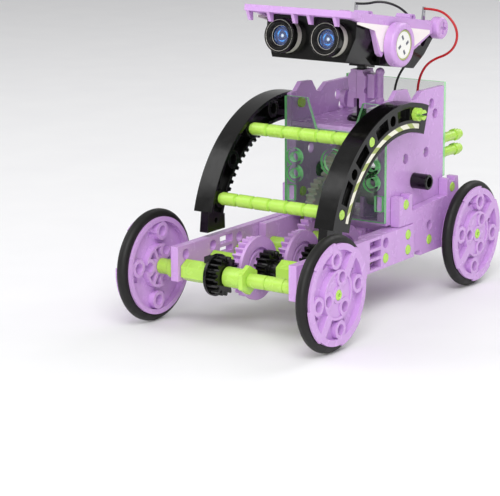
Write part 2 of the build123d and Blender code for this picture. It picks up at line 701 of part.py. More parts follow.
# ---------------------------------------------------------------- gearbox casing
notch = ((42.3, case_top), (36.8, 95.2), (33.2, 95.2), (28.6, 101.2), (19.4, 101.6), (15.0, 97.6))
case_outline = ((case_front, case_low), (case_rear, case_low), (case_rear, case_top), *notch,
                (case_front, 97.2))
side_holes = ((27.8, 68.0), (47.3, 68.3), (52.0, 91.4), (55.6, 86.0))
fork_angle = radians(arch_pin_first)
fork_y = arch_y - arch_pin_r * sin(fork_angle)
fork_z = arch_z + arch_pin_r * cos(fork_angle)
rear_pin_z = (71.3, 64.1)
rear_pin_x = 24.0
rear_pin_tip = 87.0
saddle_x = 7.0                    # ribs either side of the motor's middle
saddle_mid = sum(motor_x) / 2
for name, side in sides():
    with BuildPart() as shell:
        add(side_plate(case_in, case_wall, side, case_outline,
                       (*side_holes, *block_pins[:1], (fork_y, fork_z)), hole_r))
        # floor, and the front and rear lips that the covers close against
        with BuildSketch(Plane.XY.offset(case_low)):
            with Locations((side * (case_half + 0.1) / 2, (case_front + case_rear) / 2)):
                Rectangle(case_half - 0.1, case_rear - case_front)
            with Locations((sum(drive_lane) / 2, idler_y)):
                Rectangle(7.0, 25.0, mode=Mode.SUBTRACT)
        extrude(amount=floor_t)
        for edge_y, way in ((case_front, 1), (case_rear, -1)):
            with BuildSketch(Plane.XY.offset(case_low)):
                with Locations((side * (case_half - 2.5), edge_y + way)):
                    Rectangle(5.0, 2.0)
            extrude(amount=40.0)
        with BuildSketch(Plane.XZ.offset(-case_rear)):
            for z in rear_pin_z:
                with Locations((side * rear_pin_x, z)):
                    Rectangle(7.4, 7.4)
        extrude(amount=4.0)
        with BuildSketch(Plane.XZ.offset(-case_rear)):
            for z in rear_pin_z:
                with Locations((side * rear_pin_x, z)):
                    Circle(hole_r)
        extrude(amount=4.0, mode=Mode.SUBTRACT)
        # saddle rib that carries half of the motor
        with BuildSketch(yz(side * saddle_x - 1.0 + saddle_mid)):
            with Locations((motor_y, (case_low + floor_t + motor_z) / 2 - 1.0)):
                Rectangle(2 * motor_r + 3.0, motor_z - case_low - floor_t)
            with Locations((motor_y, motor_z)):
                Circle(motor_r + 0.1, mode=Mode.SUBTRACT)
            with Locations((idler_y, idler_z)):
                Circle(steel_r + 0.06, mode=Mode.SUBTRACT)
        extrude(amount=2.0)
        # bores for the output shaft and the idler
        with BuildSketch(yz(side * case_in)):
            with Locations((shaft_y, shaft_z)):
                Circle(shaft_r + hole_clearance)
            with Locations((idler_y, idler_z)):
                Circle(steel_r + 0.06)
        extrude(amount=side * case_wall, mode=Mode.SUBTRACT)
    save(shell.part, f"gearbox_shell_{name}")

# clear front cover: plate with two ears, round bosses and clip windows
ear_top = 96.0
cover_top = 81.6
with BuildPart() as front_cover:
    with BuildSketch(Plane.XZ.offset(-case_front)):
        with BuildLine():
            Polyline((-case_half, 40.0), (case_half, 40.0), (case_half, ear_top),
                     (15.6, ear_top), (10.5, cover_top), (-10.5, cover_top),
                     (-15.6, ear_top), (-case_half, ear_top), close=True)
        make_face()
        for side in (1, -1):
            with Locations((side * 24.6, 49.0)):
                Rectangle(4.0, 7.4, mode=Mode.SUBTRACT)
            with Locations((side * 21.6, 67.0), (side * 21.6, 59.0)):
                Circle(hole_r, mode=Mode.SUBTRACT)
    extrude(amount=cover_t)
    with BuildSketch(Plane.XZ.offset(-cover_front)):
        for side in (1, -1):
            with Locations((side * 21.6, 67.0), (side * 21.6, 59.0)):
                Circle(4.4)
                Circle(hole_r, mode=Mode.SUBTRACT)
        with Locations((0, 66.6)):
            Circle(6.4)
            Circle(4.6, mode=Mode.SUBTRACT)
    extrude(amount=1.8)
save(front_cover.part, "front_cover")

rear_cover_low = 53.8
with BuildPart() as rear_cover:
    with BuildSketch(Plane.XZ.offset(-case_rear - cover_t)):
        with BuildLine():
            Polyline((-case_half, rear_cover_low), (case_half, rear_cover_low), (case_half, 100.2),
                     (-case_half, 100.2), close=True)
        make_face()
        for side in (1, -1):
            for z in rear_pin_z:
                with Locations((side * rear_pin_x, z)):
                    Circle(hole_r, mode=Mode.SUBTRACT)
    extrude(amount=cover_t)
save(rear_cover.part, "rear_cover")

tray_z = 81.6
tray_t = 2.0
lead_holes = ((4.2, 57.0), (17.2, 57.0))
with BuildPart() as tray:
    with BuildSketch(Plane.XY.offset(tray_z)):
        with Locations((0, (case_front + case_rear) / 2)):
            Rectangle(2 * (case_in - seat_gap), case_rear - case_front - 2 * seat_gap)
        with Locations((0, head_y)):
            Circle(hole_r, mode=Mode.SUBTRACT)
        with Locations(*lead_holes):
            Circle(lead_d / 2 + 0.5, mode=Mode.SUBTRACT)
    extrude(amount=tray_t)
    for edge_y, way in ((case_front + seat_gap, 1), (case_rear - seat_gap, -1)):
        with BuildSketch(Plane.XY.offset(tray_z)):
            with Locations((0, edge_y + way * 0.8)):
                Rectangle(2 * 9.8, 1.6)
        extrude(amount=-3.0)
    for _, side in sides():
        with BuildSketch(yz(side * (case_in - seat_gap))):
            with BuildLine():
                Polyline((58.6, tray_z), (63.8, tray_z), (63.8, 92.0), (60.0, 92.0), close=True)
            make_face()
        extrude(amount=-side * 1.6)
save(tray.part, "top_tray")


# ---------------------------------------------------------------- arches and cross bars
def arch_point(angle, r):
    """Point of the arch in the YZ plane; angle from straight up, forwards positive."""
    a = radians(angle)
    return (arch_y - r * sin(a), arch_z + r * cos(a))


def arch_band(r_a, r_b, first, last):
    """Flat band of the arch between two radii and two angles."""
    with BuildSketch() as band:
        with BuildLine():
            inner = CenterArc((arch_y, arch_z), r_a, 90 + first, last - first)
            outer = CenterArc((arch_y, arch_z), r_b, 90 + first, last - first)
            Line(inner @ 0, outer @ 0)
            Line(inner @ 1, outer @ 1)
        make_face()
    return band.sketch


pin_angles = [arch_pin_first + i * arch_pin_step for i in range(5)]
pin_points = [arch_point(a, arch_pin_r) for a in pin_angles]
arch_near, arch_far = arch_side
web_in = arch_far - arch_web
tongue_side = (30.0, 34.5)
tongue_y = (-52.2, -38.4)
tongue_low = 39.8
for name, side in sides():
    with BuildPart() as arch:
        with BuildSketch(yz(side * web_in)):
            add(arch_band(arch_in_r, arch_out_r, arch_first, arch_last))
        extrude(amount=side * arch_web)
        # outer flange, wide enough to reach the casing
        with BuildSketch(yz(side * arch_near)):
            add(arch_band(arch_out_r - 1.7, arch_out_r, arch_first, arch_last))
        extrude(amount=side * (web_in - arch_near))
        # inner flange with a rack of small teeth
        with BuildSketch(yz(side * (arch_near + 3.0))):
            add(arch_band(arch_in_r, arch_in_r + 1.6, arch_first, arch_last))
            for i in range(11):
                angle = 22.0 + i * 4.2
                with BuildLine():
                    Polyline(arch_point(angle, arch_in_r + 0.6), arch_point(angle, arch_in_r - 1.9),
                             arch_point(angle + 1.6, arch_in_r - 1.9),
                             arch_point(angle + 3.0, arch_in_r + 0.6), close=True)
                make_face()
        extrude(amount=side * (web_in - arch_near - 3.0))
        # bosses from the web to the casing side
        with BuildSketch(yz(side * arch_near)):
            with Locations(*pin_points):
                Circle(hole_r + 1.8)
        extrude(amount=side * (web_in - arch_near))
        # end wall and tongue at the lower end
        with BuildSketch(yz(side * tongue_side[0])):
            with BuildLine():
                Polyline((tongue_y[0], tongue_low), (tongue_y[1], tongue_low),
                         arch_point(arch_last - 1.0, arch_in_r + 0.4),
                         arch_point(arch_last - 1.0, arch_out_r - 0.6), close=True)
            make_face()
            with Locations((-45.5, 44.6)):
                Circle(1.2, mode=Mode.SUBTRACT)
        extrude(amount=side * (tongue_side[1] - tongue_side[0]))
        # pockets between the pin holes, outer face
        for i in range(4):
            with BuildSketch(yz(side * arch_far)):
                add(arch_band(arch_pin_r - 2.6, arch_pin_r + 2.9,
                          pin_angles[i] + 4.2, pin_angles[i + 1] - 4.2))
            extrude(amount=-side * 2.6, mode=Mode.SUBTRACT)
        # shallow seat of the sticker
        with BuildSketch(yz(side * arch_far)):
            add(arch_band(52.7, 55.7, arch_first + 5.5, arch_last - 4.0))
        extrude(amount=-side * 0.5, mode=Mode.SUBTRACT)
        with BuildSketch(yz(side * arch_near)):
            with Locations(*pin_points):
                Circle(hole_r)
        extrude(amount=side * (arch_far - arch_near), mode=Mode.SUBTRACT)
    save(arch.part, f"arch_{name}")

with BuildPart() as arch_stickers:
    for _, side in sides():
        with BuildSketch(yz(side * (arch_far - 0.5))):
            add(arch_band(52.8, 55.6, arch_first + 5.7, arch_last - 4.2))
        extrude(amount=side * 0.3)
save(arch_stickers.part, "arch_stickers")

with BuildPart() as cross_bars:
    for y, z in (pin_points[2], pin_points[4]):
        add(ribbed_sleeve(-arch_near + 0.2, arch_near - 0.2, y, z, 2.95, pin_r - 0.3, 9.6))
        add(rod(-arch_far, arch_far, y, z, pin_r))
save(cross_bars.part, "cross_bars")

# split-headed pins: two at the top of the arches, two through the rear cover
with BuildPart() as fork_pins:
    for _, side in sides():
        add(forked_pin(side * (case_in - 1.5), side * (arch_far + 5.2), fork_y, fork_z, side))
    for z in rear_pin_z:
        with BuildSketch(Plane.XZ.offset(-case_rear + 3.6)):
            with Locations((rear_pin_x, z)):
                Circle(pin_r)
        extrude(amount=-(rear_pin_tip - case_rear + 3.6))
        for collar_y in (case_rear + cover_t + 0.1, rear_pin_tip - 6.0):
            with BuildSketch(Plane.XZ.offset(-collar_y)):
                with Locations((rear_pin_x, z)):
                    Circle(pin_r + 0.6)
            extrude(amount=-3.4)
        with BuildSketch(Plane.XZ.offset(-rear_pin_tip + 9.0)):
            with Locations((rear_pin_x, z)):
                Rectangle(1.3, 8.0)
        extrude(amount=-9.0, mode=Mode.SUBTRACT)
save(fork_pins.part, "fork_pins")


# ---------------------------------------------------------------- neck and head
tilt = radians(head_pitch)


def head_side(x):
    """Plane across the head at x: its own x runs rearwards along the roof, its own y up from it."""
    return Plane(origin=(x, head_y, head_z), x_dir=(0, cos(tilt), -sin(tilt)), z_dir=(1, 0, 0))


def head_front(back):
    """Plane across the head facing forwards, `back` behind the neck axis along the roof."""
    origin = (0, head_y + back * cos(tilt), head_z - back * sin(tilt))
    return Plane(origin=origin, x_dir=(1, 0, 0), z_dir=(0, -cos(tilt), sin(tilt)))


def head_level(rise):
    """Plane along the head, `rise` above the neck top; its own y runs rearwards."""
    origin = (0, head_y + rise * sin(tilt), head_z + rise * cos(tilt))
    return Plane(origin=origin, x_dir=(1, 0, 0), z_dir=(0, sin(tilt), cos(tilt)))


def head_plate(x_in, thickness, side, outline, holes=(), radius=0.0):
    """Flat plate across the head with round holes; x_in is its inner face."""
    with BuildPart() as plate:
        with BuildSketch(head_side(side * x_in)):
            with BuildLine():
                Polyline(*outline, close=True)
            make_face()
            if holes:
                with Locations(*holes):
                    Circle(radius, mode=Mode.SUBTRACT)
        extrude(amount=side * thickness)
    return plate.part


# black post with its domed foot stands in the tray and carries the head
post_top = head_z + 2.4
foot_r = 7.0
with BuildPart() as neck_post:
    with BuildSketch(Plane.XY.offset(tray_z - 1.0)):
        with Locations((0, head_y)):
            Circle(pin_r)
    extrude(amount=post_top - tray_z + 1.0)
    with BuildSketch(Plane.XY.offset(tray_z + tray_t)):
        with Locations((0, head_y)):
            Circle(foot_r)
    extrude(amount=2.6)
    fillet(neck_post.faces().filter_by(Plane.XY).sort_by(Axis.Z)[-2].edges()
           .filter_by(GeomType.CIRCLE).sort_by(SortBy.RADIUS)[-1], 2.2)
save(neck_post.part, "neck_post")

neck_low = 90.0
neck_depth = 9.6
neck_half_outline = (
    (0.06, neck_low), (5.4, neck_low), (5.4, 92.6), (4.9, 93.2), (4.9, 97.0), (4.2, 97.8),
    (4.2, 99.2), (4.9, 100.0), (4.9, 105.2), (3.4, 107.2), (3.4, 108.4), (0.06, 108.4),
)
with BuildPart() as neck_halves:
    for _, side in sides():
        with BuildSketch(Plane.XZ.offset(-head_y)):
            with BuildLine():
                Polyline(*[(side * x, z) for x, z in neck_half_outline], close=True)
            make_face()
        extrude(amount=neck_depth / 2, both=True)
    with BuildSketch(Plane.XY.offset(neck_low)):
        with Locations((0, head_y)):
            Rectangle(3.0, neck_depth + 1.0)
    extrude(amount=4.6, mode=Mode.SUBTRACT)
    with BuildSketch(Plane.XY.offset(neck_low)):
        with Locations((0, head_y)):
            Circle(hole_r)
    extrude(amount=20.0, mode=Mode.SUBTRACT)
save(neck_halves.part, "neck_halves")

# side block with its catch bar, left side, and the round knob, right side
with BuildPart() as neck_catch:
    with BuildSketch(Plane.XY.offset(95.0)):
        with Locations((7.0, head_y)):
            Rectangle(3.8, 6.4)
    extrude(amount=11.5)
    with BuildSketch(Plane.XY.offset(92.4)):
        with Locations((10.2, head_y)):
            Circle(1.7)
    extrude(amount=16.2)
    for z in (93.6, 107.4):
        with Locations((10.2, head_y, z)):
            Sphere(2.2)
    with BuildSketch(Plane.XY.offset(98.0)):
        with Locations((9.0, head_y)):
            Rectangle(2.6, 2.6)
    extrude(amount=6.0)
    with BuildSketch(yz(-5.4)):
        with Locations((head_y, 93.4)):
            Circle(1.9)
    extrude(amount=-2.0)
    with BuildSketch(yz(-7.2)):
        with Locations((head_y, 93.4)):
            Circle(4.4)
    extrude(amount=-3.2)
    fillet(neck_catch.edges().filter_by(GeomType.CIRCLE).sort_by(Axis.X)[0], 1.0)
save(neck_catch.part, "neck_catch_and_knob")

# black lower shell of the head: open box with the face, struts and neck socket
tub_back = -47.8
roller_back = 23.4                # behind the neck axis, along the roof
roller_rise = roof_low + 0.5
roller_r = 3.4
roller_pin_r = 2.0
side_outline = ((tub_back, 0.6), (7.0, 0.6), (16.0, 7.6), (25.4, 18.4), (21.0, 20.2),
                (14.6, 11.4), (10.0, 12.0), (6.0, 20.2), (tub_back, 20.2))
strut_end_r = 3.2
ear_at = ((ear_back, ear_rise),)
ear_pin_r = 1.9
with BuildPart() as tub:
    for _, side in sides():
        add(head_plate(head_half - tub_wall, tub_wall, side, side_outline, ear_at,
                       ear_pin_r + hole_clearance))
        with BuildSketch(head_side(side * (head_half - tub_wall))):
            with Locations((roller_back, roller_rise)):
                Circle(strut_end_r)
        extrude(amount=side * tub_wall)
        with BuildSketch(head_side(side * (head_half - tub_wall))):
            with Locations((roller_back, roller_rise)):
                Circle(roller_pin_r + push_fit)
        extrude(amount=side * tub_wall, mode=Mode.SUBTRACT)
    # front wall, narrower below, and the floor
    with BuildSketch(head_front(tub_back + 2.4)):
        with BuildLine():
            Polyline((-head_half, 20.2), (-head_half, 12.0), (-20.0, 0.6), (20.0, 0.6),
                     (head_half, 12.0), (head_half, 20.2), close=True)
        make_face()
    extrude(amount=2.4)
    with BuildSketch(head_level(0.6)):
        with Locations((0, (tub_back + 7.0) / 2)):
            Rectangle(2 * head_half, 7.0 - tub_back)
    extrude(amount=2.0)
    with BuildSketch(head_level(0.6)):
        Rectangle(9.0, 9.0)
    extrude(amount=-1.2)
    # lower corners are cut away along the whole length
    for _, side in sides():
        with BuildSketch(head_front(tub_back - 1)):
            with BuildLine():
                Polyline((side * 30, 12.0), (side * head_half, 12.0), (side * 20.0, 0.6),
                         (side * 18.0, -3.0), (side * 30, -3.0), close=True)
            make_face()
        extrude(amount=-24.0, mode=Mode.SUBTRACT)
    # slanting walls close the lower corners; the ear pins pass through them
    for _, side in sides():
        with BuildSketch(head_front(tub_back)):
            with BuildLine():
                Polyline((side * head_half, 12.0), (side * head_half, 13.0), (side * 22.6, 13.0),
                         (side * 18.4, 2.2), (side * 18.4, 0.6), (side * 20.0, 0.6), close=True)
            make_face()
        extrude(amount=tub_back - 7.0)
        with BuildSketch(head_side(side * 18.0)):
            with Locations(*ear_at):
                Circle(ear_pin_r + hole_clearance)
        extrude(amount=side * (head_half - 18.0 + 0.5), mode=Mode.SUBTRACT)
    with BuildSketch(Plane.XY.offset(head_z - 3)):
        with Locations((0, head_y)):
            Circle(hole_r)
    extrude(amount=8.0, mode=Mode.SUBTRACT)
save(tub.part, "head_lower_shell")

# purple roof with the visor, its hooks, the skirts and a seat for the solar panel
visor_front = -60.7
roof_front = -56.6
roof_rear = 19.4
roof_half = head_half + roof_over
visor_half = head_half + visor_over
hooks_x = (-28.4, -17.0, -3.6, 4.9, 18.8)
panel_gap = 0.3
panel_t = 1.8
roof_rim = 1.6
skirt_in = head_half + 0.2
skirt_rear = roller_back - 5.3 - 0.8
skirt_outline = ((roof_front, roof_low + 0.1), (-37.2, 17.6), (-30.2, 6.0), (-27.6, 4.8),
                 (-24.9, 8.6), (-20.0, 6.6), (-9.0, 6.2), (2.0, 9.6), (skirt_rear, roof_low - 2.2),
                 (skirt_rear, roof_low + 0.1))
panel_back = 12.6                 # rear edge of the solar panel
panel_front = roof_front + roof_rim + 1.6
panel_mid = (panel_front + panel_back) / 2
panel_len = panel_back - panel_front
panel_half = roof_half - roof_rim - 1.2
with BuildPart() as roof:
    with BuildSketch(head_level(roof_low)):
        with Locations((0, (roof_front + roof_rear) / 2)):
            Rectangle(2 * roof_half, roof_rear - roof_front)
    extrude(amount=roof_t)
    with BuildSketch(head_level(roof_low + roof_t)):
        with Locations((0, panel_mid)):
            Rectangle(2 * (panel_half + panel_gap), panel_len + 2 * panel_gap)
    extrude(amount=-panel_t - 0.2, mode=Mode.SUBTRACT)
    with BuildSketch(head_level(roof_low + 0.4)):
        with Locations((0, (visor_front + roof_front) / 2 + 0.6)):
            Rectangle(2 * visor_half, roof_front - visor_front + 1.2)
    extrude(amount=roof_t - 0.4)
    for hook_x in hooks_x:
        with BuildSketch(head_side(hook_x)):
            with BuildLine():
                Polyline((visor_front + 0.2, roof_low + 0.6), (roof_front, roof_low + 0.6),
                         (roof_front + 0.8, roof_low - 3.8), (roof_front - 1.2, roof_low - 3.8),
                         (visor_front + 1.2, roof_low - 1.0), close=True)
            make_face()
        extrude(amount=1.6)
    for _, side in sides():
        add(head_plate(skirt_in, roof_half - skirt_in, side, skirt_outline, ear_at,
                       ear_pin_r + 0.3))
    # rear corners are cut back round the roller's knobs
    with BuildSketch(head_level(roof_low - 1.0)):
        for _, side in sides():
            with Locations((side * (roof_half + head_half) / 2, skirt_rear + 5.0)):
                Rectangle(roof_half - head_half + 1.0, 10.0)
    extrude(amount=roof_t + 2.0, mode=Mode.SUBTRACT)
    # lugs on the rear edge
    for x in (-12.0, 12.0):
        with BuildSketch(head_side(x - 4.0)):
            with BuildLine():
                Polyline((roof_rear - 5.5, roof_low + 1.0), (roof_rear + 0.2, roof_low + 1.0),
                         (roof_rear + 0.2, roof_low + 4.6), (roof_rear - 1.0, roof_low + 6.0),
                         (roof_rear - 4.5, roof_low + 6.0), (roof_rear - 5.5, roof_low + 4.6),
                         close=True)
            make_face()
            with Locations((roof_rear - 2.7, roof_low + 4.4)):
                Circle(0.9, mode=Mode.SUBTRACT)
        extrude(amount=8.0)
save(roof.part, "head_roof")

with BuildPart() as panel:
    with BuildSketch(head_level(roof_low + roof_t - panel_t)):
        with Locations((0, panel_mid)):
            Rectangle(2 * panel_half, panel_len)
    extrude(amount=panel_t - 0.2)
save(panel.part, "solar_panel")

sticker_outline = ((-52.0, 18.4), (-36.0, 16.4), (-29.2, 7.4), (-27.4, 7.0), (-24.6, 10.6),
                   (-20.0, 8.4), (-9.0, 8.0), (1.4, 11.2), (14.4, 17.8), (14.4, 19.4),
                   (-52.0, 19.4))
with BuildPart() as side_stickers:
    for _, side in sides():
        add(head_plate(roof_half, 0.35, side, sticker_outline, ear_at, ear_pin_r + 0.3))
save(side_stickers.part, "head_side_stickers")

# rear roller between the struts, with a knob outside each strut
knob_r = 5.3
knob_in = head_half + 0.3
knob_t = 4.9
with BuildPart() as roller:
    with BuildSketch(head_side(-(head_half - tub_wall - 0.2))):
        with Locations((roller_back, roller_rise)):
            Circle(roller_r)
    extrude(amount=2 * (head_half - tub_wall - 0.2))
    with BuildSketch(head_side(-knob_in - 1.0)):
        with Locations((roller_back, roller_rise)):
            Circle(roller_pin_r)
    extrude(amount=2 * (knob_in + 1.0))
    for _, side in sides():
        with BuildSketch(head_side(side * knob_in)):
            with Locations((roller_back, roller_rise)):
                Circle(knob_r)
        extrude(amount=side * knob_t)
        chamfer(roller.edges().filter_by(GeomType.CIRCLE).sort_by(Axis.X)[-1 if side > 0 else 0],
                0.8)
        with BuildSketch(head_side(side * (knob_in + knob_t))):
            with Locations((roller_back, roller_rise)):
                Rectangle(5.6, 1.2)
                Rectangle(1.2, 5.6)
        extrude(amount=-side * 0.8, mode=Mode.SUBTRACT)
save(roller.part, "rear_roller")

# eyes: bright sleeve, black hood and lens
eye_places = ((-eye_x, eye_rise), (eye_x, eye_rise))
with BuildPart() as eye_sleeves:
    with BuildSketch(head_front(tub_back)):
        with Locations(*eye_places):
            Circle(hood_r - 0.2)
            Circle(6.0, mode=Mode.SUBTRACT)
    extrude(amount=3.6)
save(eye_sleeves.part, "eye_sleeves")

with BuildPart() as eye_hoods:
    with BuildSketch(head_front(tub_back - 3.6)):
        with Locations(*eye_places):
            Circle(hood_r)
            Circle(5.0, mode=Mode.SUBTRACT)
    extrude(amount=3.2)
save(eye_hoods.part, "eye_hoods")

with BuildPart() as eye_lenses:
    with BuildSketch(head_front(tub_back)):
        with Locations(*eye_places):
            Circle(4.8)
    extrude(amount=5.0)
    fillet(eye_lenses.edges().filter_by(GeomType.CIRCLE).group_by(Axis.Y)[0], 1.0)
save(eye_lenses.part, "eye_lenses")

ear_in = roof_half + 0.7
ear_t = 5.0
for name, side in sides():
    with BuildPart() as ear:
        with BuildSketch(head_side(side * ear_in)):
            with Locations(*ear_at):
                Circle(ear_r)
        extrude(amount=side * ear_t)
        rims = ear.edges().filter_by(GeomType.CIRCLE).sort_by(Axis.X)
        fillet(rims[-1 if side > 0 else 0], 1.6)
        with BuildSketch(head_side(side * (ear_in + ear_t))):
            with Locations(*ear_at):
                Circle(7.3)
        extrude(amount=-side * 0.7, mode=Mode.SUBTRACT)
        with BuildSketch(head_side(side * ear_in)):
            with Locations(*ear_at):
                Circle(ear_pin_r)
        extrude(amount=-side * (ear_in - head_half + tub_wall + 1.2))
    save(ear.part, f"ear_wheel_{name}")


# ---------------------------------------------------------------- leads and their terminals
terminal_back = (17.0, 19.2)
terminal_x = ((-17.6, "black"), (20.6, "red"))
terminal_t = 0.8
terminal_top = roof_low + roof_t + 6.6
with BuildPart() as terminals:
    for x, _ in terminal_x:
        with BuildSketch(head_side(x)):
            with BuildLine():
                Polyline((terminal_back[0], roof_low + roof_t), (terminal_back[1], roof_low + roof_t),
                         (terminal_back[1], terminal_top), (terminal_back[0], terminal_top),
                         close=True)
            make_face()
            with Locations(((terminal_back[0] + terminal_back[1]) / 2, terminal_top - 2.6)):
                Circle(0.5, mode=Mode.SUBTRACT)
        extrude(amount=terminal_t)
save(terminals.part, "lead_terminals")

lead_end = tray_z - 0.6
black_route = (
    (terminal_x[0][0] + terminal_t, 55.4, 136.6), (-11.4, 55.4, 136.6), (-5.6, 57.6, 138.2),
    (0.2, 61.8, 136.8), (4.8, 66.0, 133.0), (8.0, 68.4, 127.0), (9.4, 69.2, 120.2),
    (8.2, 68.4, 113.4), (5.6, 65.8, 107.4), (3.8, 61.6, 102.0), (3.6, 58.2, 96.0),
    (4.2, 57.0, 89.4), (4.2, 57.0, lead_end + 2.0),
)
red_route = (
    (terminal_x[1][0] + terminal_t, 55.4, 136.4), (26.6, 55.4, 136.4), (31.8, 55.0, 135.4),
    (36.2, 54.8, 132.6), (39.4, 54.8, 128.2), (40.0, 54.8, 123.0), (37.8, 54.8, 118.2),
    (33.8, 54.8, 115.0), (28.6, 54.8, 113.0), (24.0, 55.0, 110.2), (20.6, 55.4, 106.0),
    (18.4, 56.0, 101.0), (17.4, 56.6, 95.4), (17.2, 57.0, 89.0), (17.2, 57.0, lead_end + 1.6),
)


def lead(points):
    """Round lead along straight runs joined by the largest arcs that fit; prints the radii."""
    runs = [Vector(*b) - Vector(*a) for a, b in zip(points, points[1:])]
    radii = []
    for first, second in zip(runs, runs[1:]):
        turn = radians(first.get_angle(second))
        radii.append(0.45 * min(first.length, second.length) / tan(turn / 2))
    with BuildPart() as tube:
        with BuildLine() as path:
            FilletPolyline(*points, radius=radii)
        with BuildSketch(Plane(origin=path.line @ 0, z_dir=path.line % 0)):
            Circle(lead_d / 2)
        sweep(path=path.line)
    length = path.wires()[0].length
    expected = pi * lead_d ** 2 / 4 * length
    print("lead radii", [round(r, 1) for r in radii], "length", round(length, 1),
          "volume ratio", round(tube.part.volume / expected, 4))
    return tube.part


for name, route in (("black_lead", black_route), ("red_lead", red_route)):
    lead_part = lead(route)
    with BuildPart() as lead_node:
        add(lead_part)
    save(lead_node.part, name)
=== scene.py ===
import json
from math import cos, pi, radians, sin

import bmesh
import bpy
from mathutils import Matrix, Vector


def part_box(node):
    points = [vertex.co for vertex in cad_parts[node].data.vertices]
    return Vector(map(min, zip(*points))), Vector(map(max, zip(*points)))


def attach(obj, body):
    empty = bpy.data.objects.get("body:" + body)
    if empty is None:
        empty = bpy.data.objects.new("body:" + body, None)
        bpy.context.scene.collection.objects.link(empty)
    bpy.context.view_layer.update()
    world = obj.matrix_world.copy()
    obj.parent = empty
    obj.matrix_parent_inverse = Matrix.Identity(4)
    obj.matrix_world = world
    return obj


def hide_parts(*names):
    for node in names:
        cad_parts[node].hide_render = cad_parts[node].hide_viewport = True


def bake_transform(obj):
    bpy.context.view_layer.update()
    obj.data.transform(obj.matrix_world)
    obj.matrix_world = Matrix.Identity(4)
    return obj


# Solar robot kit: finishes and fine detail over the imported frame.
# Scene units are metres, in the frame's own axes: +Z up, the robot faces -Y, its left is +X.
# Sizes below are in millimetres and angles in degrees, unless a comment says otherwise.
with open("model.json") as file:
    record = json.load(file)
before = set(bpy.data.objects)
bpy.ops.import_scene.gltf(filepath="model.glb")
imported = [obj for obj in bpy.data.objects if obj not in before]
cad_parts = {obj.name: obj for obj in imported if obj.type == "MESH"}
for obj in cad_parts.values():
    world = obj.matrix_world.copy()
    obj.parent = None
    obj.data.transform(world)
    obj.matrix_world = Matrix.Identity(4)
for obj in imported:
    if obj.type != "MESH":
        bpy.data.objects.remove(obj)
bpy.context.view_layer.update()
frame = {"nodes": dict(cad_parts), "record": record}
nodes = frame["nodes"]
scene = bpy.context.scene
MM = 0.001

# ---------------------------------------------------------------- sizes shared with the frame
HEAD_AXIS = (0.0, 33.3, 110.0)       # top of the neck
HEAD_PITCH = 8.8                     # nose up
EYE_X, EYE_RISE, EYE_FRONT = 12.5, 10.7, -47.8
HOOD_R = 8.1                         # bore of an eye's hood
EAR_AT = (-17.8, 11.1)               # Y and Z, from the top of the neck
EAR_FACE = 32.0                      # floor of the badge's seat, from the middle
PANEL_AT = (0, -20.4, 23.62)         # middle of the solar panel's face, from the top of the neck
ARCH_CENTRE = (11.0, 32.5)           # Y and Z
ARCH_PIN_R = 59.7
ARCH_NEAR, ARCH_FAR = 28.0, 38.0     # inner and outer face, from the middle
FILM_R = 54.2                        # middle of the printed film on an arch
TYRE_R, TYRE_SECTION = 26.0, 2.6
LEAD_D = 1.2

# ---------------------------------------------------------------- sizes of the fine detail
IRIS_R, IRIS_RISE = 4.5, 4.2         # disc in an eye, painted as glowing, above the hood's floor
DOME_LIFT, DOME_RISE = 0.05, 1.3     # clear dome over the disc
EYE_RING_WIRE = 0.1                  # half the thickness of an eye's two satin rings; the outer one is a painted highlight
PARTING_SINK, PARTING_SPAN = 0.05, 0.12    # line round a tyre: its depth, its half width as a sine
BAR_ANGLES = (30.3, 67.8)            # forward from the top of the arches, to the bars' holes
BAR_LENGTH, BAR_R, BAR_SECTIONS = 2 * ARCH_NEAR - 0.4, 3.0, 6
BAR_END_R, BAR_END_BORE = 2.4, 0.7   # bar's end in its arch hole, and the dimple in its face
BAR_END_ROOT, BAR_END_EASE = 0.3, 0.3      # its overlap with the bar, and its eased edge
BADGE_R, BADGE_RING_R = 6.3, 7.15    # white disc and the lime ring round it
BADGE_LIFT, BADGE_RISE, BADGE_RING_RISE = 0.02, 0.22, 0.3
SLOT_TURN = 20                       # of the four grey slots round the badge
CELL_SIZE, CELL_GAP = (22.4, 15.0), 0.8

# ---------------------------------------------------------------- camera
camera = bpy.data.objects.new("camera", bpy.data.cameras.new("camera"))
scene.collection.objects.link(camera)
camera.location = (0.484553, -0.756058, 0.239367)
camera.rotation_euler = (radians(90 - 11.741), 0, radians(33.688))
camera.data.sensor_width = 36.0
camera.data.lens = 139.96
camera.data.shift_x = -0.0794
camera.data.shift_y = -0.1087
camera.data.clip_start = 0.05
scene.camera = camera


# ---------------------------------------------------------------- node and colour helpers
def linear(code):
    """sRGB hex colour as the linear RGBA that a shader takes."""
    channels = [int(code[i:i + 2], 16) / 255 for i in (1, 3, 5)]
    straight = [c / 12.92 if c <= 0.04045 else ((c + 0.055) / 1.055) ** 2.4 for c in channels]
    return (*straight, 1.0)


def add(tree, kind, inputs=None, **settings):
    """One node with its settings; each input is a value or the output that feeds it."""
    item = tree.nodes.new(kind)
    for name, value in settings.items():
        setattr(item, name, value)
    for name, value in (inputs or {}).items():
        if isinstance(value, bpy.types.NodeSocket):
            tree.links.new(value, item.inputs[name])
        else:
            item.inputs[name].default_value = value
    return item


def surface(name):
    """Empty material: its tree, its Object coordinates and its shader, already joined up."""
    material = bpy.data.materials.new(name)
    material.use_nodes = True
    tree = material.node_tree
    tree.nodes.clear()
    place = add(tree, "ShaderNodeTexCoord").outputs["Object"]
    shader = add(tree, "ShaderNodeBsdfPrincipled")
    add(tree, "ShaderNodeOutputMaterial", {"Surface": shader.outputs["BSDF"]})
    return material, tree, place, shader


